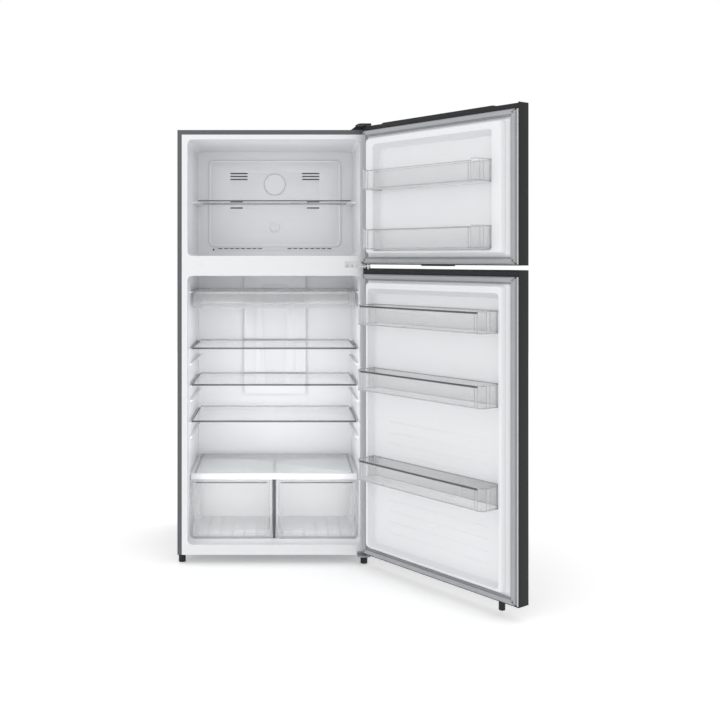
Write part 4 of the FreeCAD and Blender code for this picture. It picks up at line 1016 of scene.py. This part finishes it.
def return_grille():
    """The slotted strip below the cover."""
    low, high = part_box("return_air_grille")
    strip = rounded("return_grille", low, high, Y, 3 * MM, 3)
    pitch = 26 * MM
    long = pitch * 0.75
    first = 58 * MM
    places = []
    for number in range(8):
        near = first + pitch * number
        for left, right in ((near, near + long), (-near - long, -near)):
            places.append((left, right, low.z + 4.2 * MM, high.z - 4.2 * MM))
    slots(strip, places, low.y, high.y)
    white_part(soften(strip, 0.5 * MM, 2), "return_air_grille")
    # a dark sheet just inside the strip, seen through the slots: painted shade of the space behind
    # them
    back = block(
        "grille_slot_shade", (low.x + 6 * MM, high.y - 1.6 * MM, low.z + 2 * MM),
        (high.x - 6 * MM, high.y - 0.6 * MM, high.z - 2 * MM),
    )
    settle(soften(back, 0.3 * MM, 1), "cabinet", dark_slot(), "trim_plastic")
    plug = disc("drain_plug", (-281 * MM, high.y, 1291 * MM), 4.2 * MM, 3 * MM, Y, 24)
    settle(soften(plug, 0.8 * MM, 2), "cabinet", black_rubber(), "mount_rubber")


class FRIDGE_OT_freezer_back(bpy.types.Operator):
    """Evaporator cover, fan cap, control knob and return grille"""

    bl_idname = "fridge.freezer_back"
    bl_label = "Freezer back"

    def execute(self, context):
        evaporator_cover()
        fan_cap()
        control_knob()
        return_grille()
        return {"FINISHED"}


# levels of the outlets at the duct's sides, in millimetres
DUCT_OUTLETS = (700, 716, 860, 876, 1020, 1036)


def air_duct():
    """The duct cover on the back wall: side outlets, a long lens that tapers down, bright strips."""
    low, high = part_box("fresh_air_duct")
    cover = rounded("duct_cover", low, high, Y, 12 * MM)
    round_edges(cover, Z, 6 * MM, 4, lambda edge: edge.verts[0].co.y < low.y + MM)
    places = []
    for level in DUCT_OUTLETS:
        for side in (-1, 1):
            ends = sorted((side * 100 * MM, side * 132 * MM))
            places.append((*ends, level * MM, level * MM + VENT_HEIGHT))
    slots(cover, places, low.y, low.y + 3 * MM)
    white_part(soften(cover, 1.0 * MM), "fresh_air_duct")
    lens_low, lens_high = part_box("duct_lamp_lens")
    lens = block(
        "duct_lens", (lens_low.x, low.y - 2 * MM, lens_low.z),
        (lens_high.x, low.y + MM, lens_high.z),
    )
    with shaping(lens, "VERT", lambda v: v.co.z < lens_low.z + MM):
        bpy.ops.transform.resize(value=(0.72, 1, 1), center_override=(0, 0, lens_low.z))
    round_edges(lens, Y, 10 * MM, 5)
    settle(soften(lens, MM, 2), "cabinet", frosted_lens(), "lens_plastic", "duct_lamp_lens")
    for label, side in (("left", -1), ("right", 1)):
        ends = sorted((side * 68 * MM, side * 92 * MM))
        strip = rounded(
            f"duct_strip_{label}", (ends[0], low.y - 1.5 * MM, lens_low.z + 12 * MM),
            (ends[1], low.y + 0.5 * MM, lens_high.z - 12 * MM), Y, 6 * MM, 4,
        )
        white_part(soften(strip, 0.6 * MM, 2))


def frosted_lens():
    # frosted styrene lens: greyish, softly glossy, a little see-through
    return surface("frosted_styrene_lens", srgb("dfe1e3"), 0.35, 3, 0.03, 0.03, 90, IOR=1.59)


class FRIDGE_OT_duct(bpy.types.Operator):
    """Fresh air duct cover with its lens"""

    bl_idname = "fridge.duct"
    bl_label = "Air duct"

    def execute(self, context):
        air_duct()
        return {"FINISHED"}


def shelf(node, front_drop=6):
    """A glass pane with a dark front rail, a clear rear stop and, under a deep rail, side rails."""
    low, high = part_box(node)
    top = high.z - MM
    pane = rounded(
        f"{node}_pane", (low.x + MM, low.y + 6 * MM, top - 5 * MM),
        (high.x - MM, high.y, top), Z, 8 * MM, 4,
    )
    settle(soften(pane, MM, 2), node, float_glass(), "shelf_glass", node)
    rail = block(
        f"{node}_front_rail", (low.x, low.y, top - front_drop * MM),
        (high.x, low.y + 12 * MM, top + 0.6 * MM),
    )
    round_edges(rail, X, 2.5 * MM, 4, lambda edge: edge.verts[0].co.y < low.y + MM)
    sides = [soften(rail, 0.5 * MM, 2)]
    if front_drop > 4:
        for left in (low.x, high.x - 3 * MM):
            side = rounded(
                "side_rail", (left, low.y + 10 * MM, top - 5.6 * MM),
                (left + 3 * MM, high.y - 30 * MM, top + 0.5 * MM), Y, MM, 3,
            )
            sides.append(soften(side, 0.4 * MM, 2))
    settle(join(f"{node}_rails", sides), node, rail_trim(), "shelf_glass")
    stop = rounded(
        f"{node}_rear_stop", (low.x + 3 * MM, high.y - 6 * MM, top - 5 * MM),
        (high.x - 3 * MM, high.y, top + 3 * MM), X, 2 * MM, 3,
    )
    settle(soften(stop, 0.6 * MM, 2), node, clear_polystyrene_rim(), "shelf_glass")


class FRIDGE_OT_shelves(bpy.types.Operator):
    """Glass shelves and the cover over the crispers"""

    bl_idname = "fridge.shelves"
    bl_label = "Shelves"

    def execute(self, context):
        shelf("freezer_shelf", 4)
        for node in ("shelf_1", "shelf_2", "shelf_3"):
            shelf(node)
        crisper_cover()
        side_ledges()
        return {"FINISHED"}


def crisper_cover():
    """The etched pane over the crispers in a pale frame with a deep front."""
    low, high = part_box("crisper_cover")
    top = high.z - MM
    pane = rounded(
        "crisper_pane", (low.x + 8 * MM, low.y + 20 * MM, top - 5 * MM),
        (high.x - 8 * MM, high.y - 4 * MM, top), Z, 6 * MM, 4,
    )
    settle(soften(pane, MM, 2), "cabinet", frosted_glass(), "shelf_glass", "crisper_cover")
    rim = ring(
        "crisper_cover_rim", (low.x, low.y + 5 * MM, top - 5 * MM),
        (high.x, high.y, top + 0.8 * MM), Z, 8 * MM, 8 * MM,
    )
    settle(soften(rim, MM, 2), "cabinet", crisper_trim(), "trim_plastic")
    lines = []
    for left in (low.x + 15 * MM, high.x - 18 * MM):
        line = rounded(
            "edge_line", (left, low.y + 20 * MM, top - MM),
            (left + 3 * MM, high.y - 12 * MM, top + MM), Y, 0.8 * MM, 3,
        )
        lines.append(soften(line, 0.4 * MM, 2))
    settle(join("crisper_edge_lines", lines), "cabinet", rail_trim(), "trim_plastic")
    front = block("crisper_front_trim", (low.x, low.y, low.z), (high.x, low.y + 5 * MM, high.z))
    round_edges(front, X, 2 * MM, 4)
    settle(soften(front, 0.5 * MM, 2), "cabinet", crisper_trim(), "trim_plastic")


def side_ledges():
    """The moulded ledges on both side walls, and the divider between the drawers."""
    node = frame["nodes"]["shelf_ledges"]
    parts = []
    for low, high in loose_boxes(node):
        tall = high.z - low.z > 50 * MM
        if tall:
            divider = rounded("crisper_divider", low, high, Z, 3 * MM, 3)
            with shaping(divider, "FACE", facing(-Y)):
                inset(1.2 * MM)
                inset(0.2 * MM, -4 * MM)
            # the divider is liner plastic; its dark colour is painted shade of the channel between
            # the drawers
            settle(soften(divider, 0.6 * MM, 2), "cabinet", shaded_groove(), "liner_plastic")
            continue
        inner = low.x if low.x > 0 else high.x
        outer = high.x if low.x > 0 else low.x
        ledge = block("ledge", low, high)
        toe = lambda v: v.co.z < low.z + MM and abs(v.co.x - inner) < MM
        with shaping(ledge, "VERT", toe):
            bpy.ops.transform.translate(value=((outer - inner) * 0.8, 0, 0))
        front = lambda v: v.co.y < low.y + MM and abs(v.co.x - inner) < 12 * MM
        with shaping(ledge, "VERT", front):
            bpy.ops.transform.translate(value=((outer - inner) * 0.1, 8 * MM, 0))
        parts.append(soften(ledge, 1.6 * MM, 3))
    ledges = join("side_ledges", parts)
    settle(ledges, "cabinet", liner_polystyrene(), "liner_plastic", "shelf_ledges")


def loose_boxes(node):
    """The boxes of a CAD node's separate solids."""
    mesh = bmesh.new()
    mesh.from_mesh(node.data)
    bmesh.ops.remove_doubles(mesh, verts=mesh.verts, dist=0.01 * MM)
    left = set(mesh.verts)
    found = []
    while left:
        queue = [left.pop()]
        group = list(queue)
        while queue:
            for edge in queue.pop().link_edges:
                for vert in edge.verts:
                    if vert in left:
                        left.remove(vert)
                        queue.append(vert)
                        group.append(vert)
        low = Vector([min(v.co[i] for v in group) for i in range(3)])
        high = Vector([max(v.co[i] for v in group) for i in range(3)])
        found.append((low, high))
    mesh.free()
    return sorted(found, key=lambda pair: tuple(pair[0]))


# ---------------------------------------------------------------- drawers


def crisper(side):
    """A clear drawer with a frosted frame round its front, a dark grip rail and floor ribs."""
    node = f"crisper_drawer_{side}"
    body = f"crisper_{side}"
    low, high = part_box(node)
    middle = (low + high) / 2
    floor_slope = 18 * MM
    shell = block(f"{node}_shell", low, high)
    round_edges(shell, Y, 20 * MM, 6, lambda edge: edge.verts[0].co.z < low.z + MM)
    with shaping(shell, "FACE", facing(Z)):
        inset(2.8 * MM)
        push((0, 0, floor_slope + 4 * MM - (high.z - low.z)))
        bpy.ops.transform.resize(value=(0.9, 0.96, 1), center_override=middle)
        push((0, 0, -floor_slope))
        bpy.ops.transform.resize(value=(0.94, 1, 1), center_override=middle)
    settle(soften(shell, 0.8 * MM, 2), body, clear_polystyrene(), "clear_plastic", node)
    front = ring(
        f"{node}_front_frame", (low.x + MM, low.y - 0.2 * MM, low.z + MM),
        (high.x - MM, low.y + 6 * MM, high.z - MM), Y, 15 * MM, 9 * MM,
    )
    settle(soften(front, 1.6 * MM, 3), body, clear_polystyrene_rim(), "clear_plastic")
    grip = block(
        f"{node}_grip", (low.x + 22 * MM, low.y - 0.2 * MM, high.z - 15 * MM),
        (high.x - 22 * MM, low.y + 16 * MM, high.z - 9 * MM),
    )
    round_edges(grip, X, 3 * MM, 4, lambda edge: edge.verts[0].co.y < low.y + MM)
    soften(hollow(grip, -Z, 3 * MM, 4 * MM), 0.7 * MM, 2)
    settle(grip, body, rail_trim(), "clear_plastic")
    ribs = []
    for number in range(5):
        across = low.x + (high.x - low.x) * (0.2 + 0.15 * number)
        ribs.append(rounded(
            "rib", (across - 1.5 * MM, low.y + 30 * MM, low.z + 3.6 * MM),
            (across + 1.5 * MM, high.y - 30 * MM, low.z + 6 * MM), X, MM, 2,
        ))
    settle(join(f"{node}_floor_ribs", ribs), body, clear_polystyrene_rim(), "clear_plastic")


def chiller_tray():
    """A clear full-width tray whose rim runs on the side rails."""
    low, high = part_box("chiller_tray")
    flange = 8 * MM
    wall = 2.8 * MM
    left, right, top = low.x + flange, high.x - flange, high.z - 3 * MM
    shell = rounded("chiller_tub", (left, low.y, low.z), (right, high.y, top), Z, 14 * MM)
    soften(hollow(shell, Z, wall, top - low.z - wall), 0.9 * MM, 2)
    settle(shell, "chiller_tray", clear_polystyrene(), "clear_plastic", "chiller_tray")
    rim = ring(
        "chiller_rim", (low.x, low.y + 20 * MM, top), (high.x, high.y - 20 * MM, high.z),
        Z, 6 * MM, flange + wall,
    )
    settle(soften(rim, 0.8 * MM, 2), "chiller_tray", clear_polystyrene_rim(), "clear_plastic")
    lip = block(
        "chiller_front_lip", (left + 12 * MM, low.y - 0.4 * MM, high.z - 12 * MM),
        (right - 12 * MM, low.y + 10 * MM, high.z - 3.5 * MM),
    )
    round_edges(lip, X, 3 * MM, 4)
    settle(soften(lip, 0.5 * MM, 2), "chiller_tray", clear_polystyrene_rim(), "clear_plastic")


class FRIDGE_OT_drawers(bpy.types.Operator):
    """Crisper drawers and the chiller tray"""

    bl_idname = "fridge.drawers"
    bl_label = "Drawers"

    def execute(self, context):
        crisper("left")
        crisper("right")
        chiller_tray()
        return {"FINISHED"}


# ---------------------------------------------------------------- outside fittings


def hinge_cover():
    """A dark cover over the top hinge and its arm, with a long slope on its left and a round top."""
    low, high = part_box("top_hinge_cover")
    arm_top = 1791 * MM
    anchor = (high.x, 10 * MM, high.z)
    back = block("cover_back", (low.x, 0, low.z), (high.x, high.y, high.z))
    front = block("cover_front", (low.x + 18 * MM, low.y, arm_top), (high.x, 0.5 * MM, high.z))
    parts = []
    for part, taper in ((back, 0.66), (front, 0.8)):
        bottom = part.bound_box[0][2]
        with shaping(part, "FACE", facing(Z)):
            bpy.ops.transform.resize(value=(taper, 0.95, 1), center_override=anchor)
        round_edges(part, Y, 4 * MM, 5, lambda edge: edge.verts[0].co.z > high.z - MM)
        with shaping(part, "FACE", facing(-Z)):
            inset(2 * MM)
            push((0, 0, high.z - bottom - 3 * MM))
            bpy.ops.transform.resize(value=(0.62, 0.92, 1), center_override=anchor)
        parts.append(soften(part, 0.8 * MM, 2))
    cover = join("hinge_cover", parts)
    settle(cover, "cabinet", moulded_abs_dark(), "dark_plastic", "top_hinge_cover")


def foot(side):
    """A levelling foot: pad with grip flats, neck and stem."""
    node = f"front_foot_{side}"
    low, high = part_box(node)
    centre = (low + high) / 2
    radius = (high.x - low.x) / 2
    whole = []
    for part, bottom, top, wide, sides, edge, steps in (
        ("pad", 0, 28 * MM, radius, 16, 1.5 * MM, 3),
        ("neck", 28 * MM, 36 * MM, radius * 0.7, 32, MM, 2),
        ("stem", 36 * MM, high.z, 4.9 * MM, 24, 0, 0),
    ):
        place = (centre.x, centre.y, (bottom + top) / 2)
        piece = disc(f"foot_{side}_{part}", place, wide, top - bottom, Z, sides)
        whole.append(soften(piece, edge, steps) if steps else piece)
    whole = join(f"levelling_foot_{side}", whole)
    settle(whole, f"foot_{side}", black_nylon(), "black_plastic", node)


AXLE_RADIUS = 4.1 * MM


def roller(side):
    """A rear roller with a tread and recessed cheeks."""
    node = f"rear_roller_{side}"
    low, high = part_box(node)
    centre = (low + high) / 2
    radius = (high.z - low.z) / 2
    wheel = disc(f"roller_{side}", centre, radius, high.x - low.x, X, 48)
    with shaping(wheel, "FACE", either_way(X)):
        inset(5 * MM)
        inset(0.5 * MM, -2.5 * MM)
        inset(radius - 5.5 * MM - AXLE_RADIUS)
        bpy.ops.mesh.bridge_edge_loops()
    settle(soften(wheel, 0.6 * MM, 2), f"roller_{side}", black_nylon(), "motor_plastic", node)


class FRIDGE_OT_fittings(bpy.types.Operator):
    """Hinge cover, feet and rollers"""

    bl_idname = "fridge.fittings"
    bl_label = "Fittings"

    def execute(self, context):
        hinge_cover()
        for side in ("left", "right"):
            foot(side)
            roller(side)
        return {"FINISHED"}


class FRIDGE_OT_finishes(bpy.types.Operator):
    """Materials on the CAD nodes that are shown as they are"""

    bl_idname = "fridge.finishes"
    bl_label = "Finishes"

    def execute(self, context):
        finishes = {
            powder_coat_grey: ("cabinet_side_left", "cabinet_side_right", "cabinet_top_panel"),
            galvanised_steel: (
                "cabinet_back_panel", "base_pan", "machine_bay_cover", "top_hinge", "bottom_hinge",
                "screws_and_pins",
            ),
            plated_hinge_steel: ("middle_hinge",),
            poured_foam: ("cabinet_foam",),
            liner_polystyrene: ("freezer_liner", "fresh_food_liner"),
            moulded_abs_white: ("front_cover_strips", "drain_tube"),
            aluminium_fins: ("evaporator_coil",),
            steel_heater: ("defrost_heater",),
            black_nylon: ("fan_motor", "evaporator_fan", "cord_gland", "drain_pan"),
            black_rubber: ("compressor_mounts",),
            black_enamel: ("compressor",),
            copper_pipe: ("refrigerant_pipes",),
        }
        for finish, nodes in finishes.items():
            for name in nodes:
                node = frame["nodes"][name]
                node.data.materials.clear()
                node.data.materials.append(finish())
        return {"FINISHED"}


# ---------------------------------------------------------------- stage


KEY_WATTS = 8
FREEZER_WATTS = 0.42
FRESH_WATTS = 2.3
CRISPER_WATTS = 1.0
EYE = (37.2 * MM, -4.036, 1.254)
LENS = 49.3
SHIFT = (0.107, -0.142)


def studio_light(name, place, target, size, power):
    bpy.ops.object.light_add(type="AREA", location=place)
    light = bpy.context.object
    light.name = name
    light.data.shape = "SQUARE"
    light.data.size = size
    light.data.energy = power
    aim = Vector(target) - Vector(place)
    light.rotation_euler = aim.to_track_quat("-Z", "Y").to_euler()
    return light


def cavity_light(name, depth, low, high, power):
    """A soft sheet of light just inside an opening, facing its back wall."""
    middle = (0, depth, (low.z + high.z) / 2)
    light = studio_light(name, middle, Vector(middle) + Y, 1.0, power)
    light.data.shape = "RECTANGLE"
    light.data.size = 0.64
    light.data.size_y = (high.z - low.z) * 0.9
    light.visible_camera = False


class FRIDGE_OT_stage(bpy.types.Operator):
    """Floor, lights and camera"""

    bl_idname = "fridge.stage"
    bl_label = "Studio"

    def execute(self, context):
        half = sizes().floor_margin
        bpy.ops.object.select_all(action="DESELECT")
        bpy.ops.mesh.primitive_plane_add(size=half * 2, location=(0, 0, -0.5 * MM))
        floor = context.object
        floor.name = "studio_floor"
        floor.data.materials.append(studio_floor_paint())
        world = bpy.data.worlds.new("studio")
        world.use_nodes = True
        sky = world.node_tree.nodes["Background"].inputs
        sky["Color"].default_value = (1, 1, 1, 1)
        sky["Strength"].default_value = 1.0
        context.scene.world = world
        low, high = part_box("crisper_drawer_left")
        margin = Z * 20 * MM
        studio_light("key_light", (-1.9, -3.4, 3.0), (0, 0.2, 0.9), 2.4, KEY_WATTS)
        cavity_light("freezer_glow", 20 * MM, FREEZER_LOW, FREEZER_CEILING, FREEZER_WATTS)
        cavity_light("fresh_glow", 20 * MM, FRESH_LOW, FRESH_HIGH, FRESH_WATTS)
        cavity_light("crisper_glow", 96 * MM, low + margin, high - margin, CRISPER_WATTS)
        bpy.ops.object.camera_add(location=EYE, rotation=(math.pi / 2, 0, 0))
        camera = context.object
        camera.data.sensor_width = 36
        camera.data.lens = LENS
        camera.data.shift_x, camera.data.shift_y = SHIFT
        context.scene.camera = camera
        context.scene.view_settings.view_transform = "Standard"
        return {"FINISHED"}


class FRIDGE_PT_panel(bpy.types.Panel):
    """Lists the groups in the sidebar"""

    bl_label = "Top Freezer Refrigerator"
    bl_idname = "FRIDGE_PT_panel"
    bl_space_type = "VIEW_3D"
    bl_region_type = "UI"
    bl_category = "Fridge"

    def draw(self, context):
        for step_class in STEPS:
            self.layout.operator(step_class.bl_idname)
        for group in (context.scene.fridge_colours, context.scene.fridge_sizes):
            for name in group.bl_rna.properties.keys():
                if name not in ("rna_type", "name"):
                    self.layout.prop(group, name)


STEPS = (
    FRIDGE_OT_stage, FRIDGE_OT_finishes, FRIDGE_OT_linings, FRIDGE_OT_freezer_back, FRIDGE_OT_duct,
    FRIDGE_OT_shelves, FRIDGE_OT_drawers, FRIDGE_OT_doors, FRIDGE_OT_bins, FRIDGE_OT_fittings,
)
CLASSES = (FridgeColours, FridgeSizes, *STEPS, FRIDGE_PT_panel)


def register():
    for item in CLASSES:
        bpy.utils.register_class(item)
    bpy.types.Scene.fridge_colours = bpy.props.PointerProperty(type=FridgeColours)
    bpy.types.Scene.fridge_sizes = bpy.props.PointerProperty(type=FridgeSizes)


def unregister():
    del bpy.types.Scene.fridge_colours
    del bpy.types.Scene.fridge_sizes
    for item in reversed(CLASSES):
        bpy.utils.unregister_class(item)


def main():
    register()
    for step_class in STEPS:
        group, name = step_class.bl_idname.split(".")
        getattr(getattr(bpy.ops, group), name)()


if __name__ == "__main__":
    main()
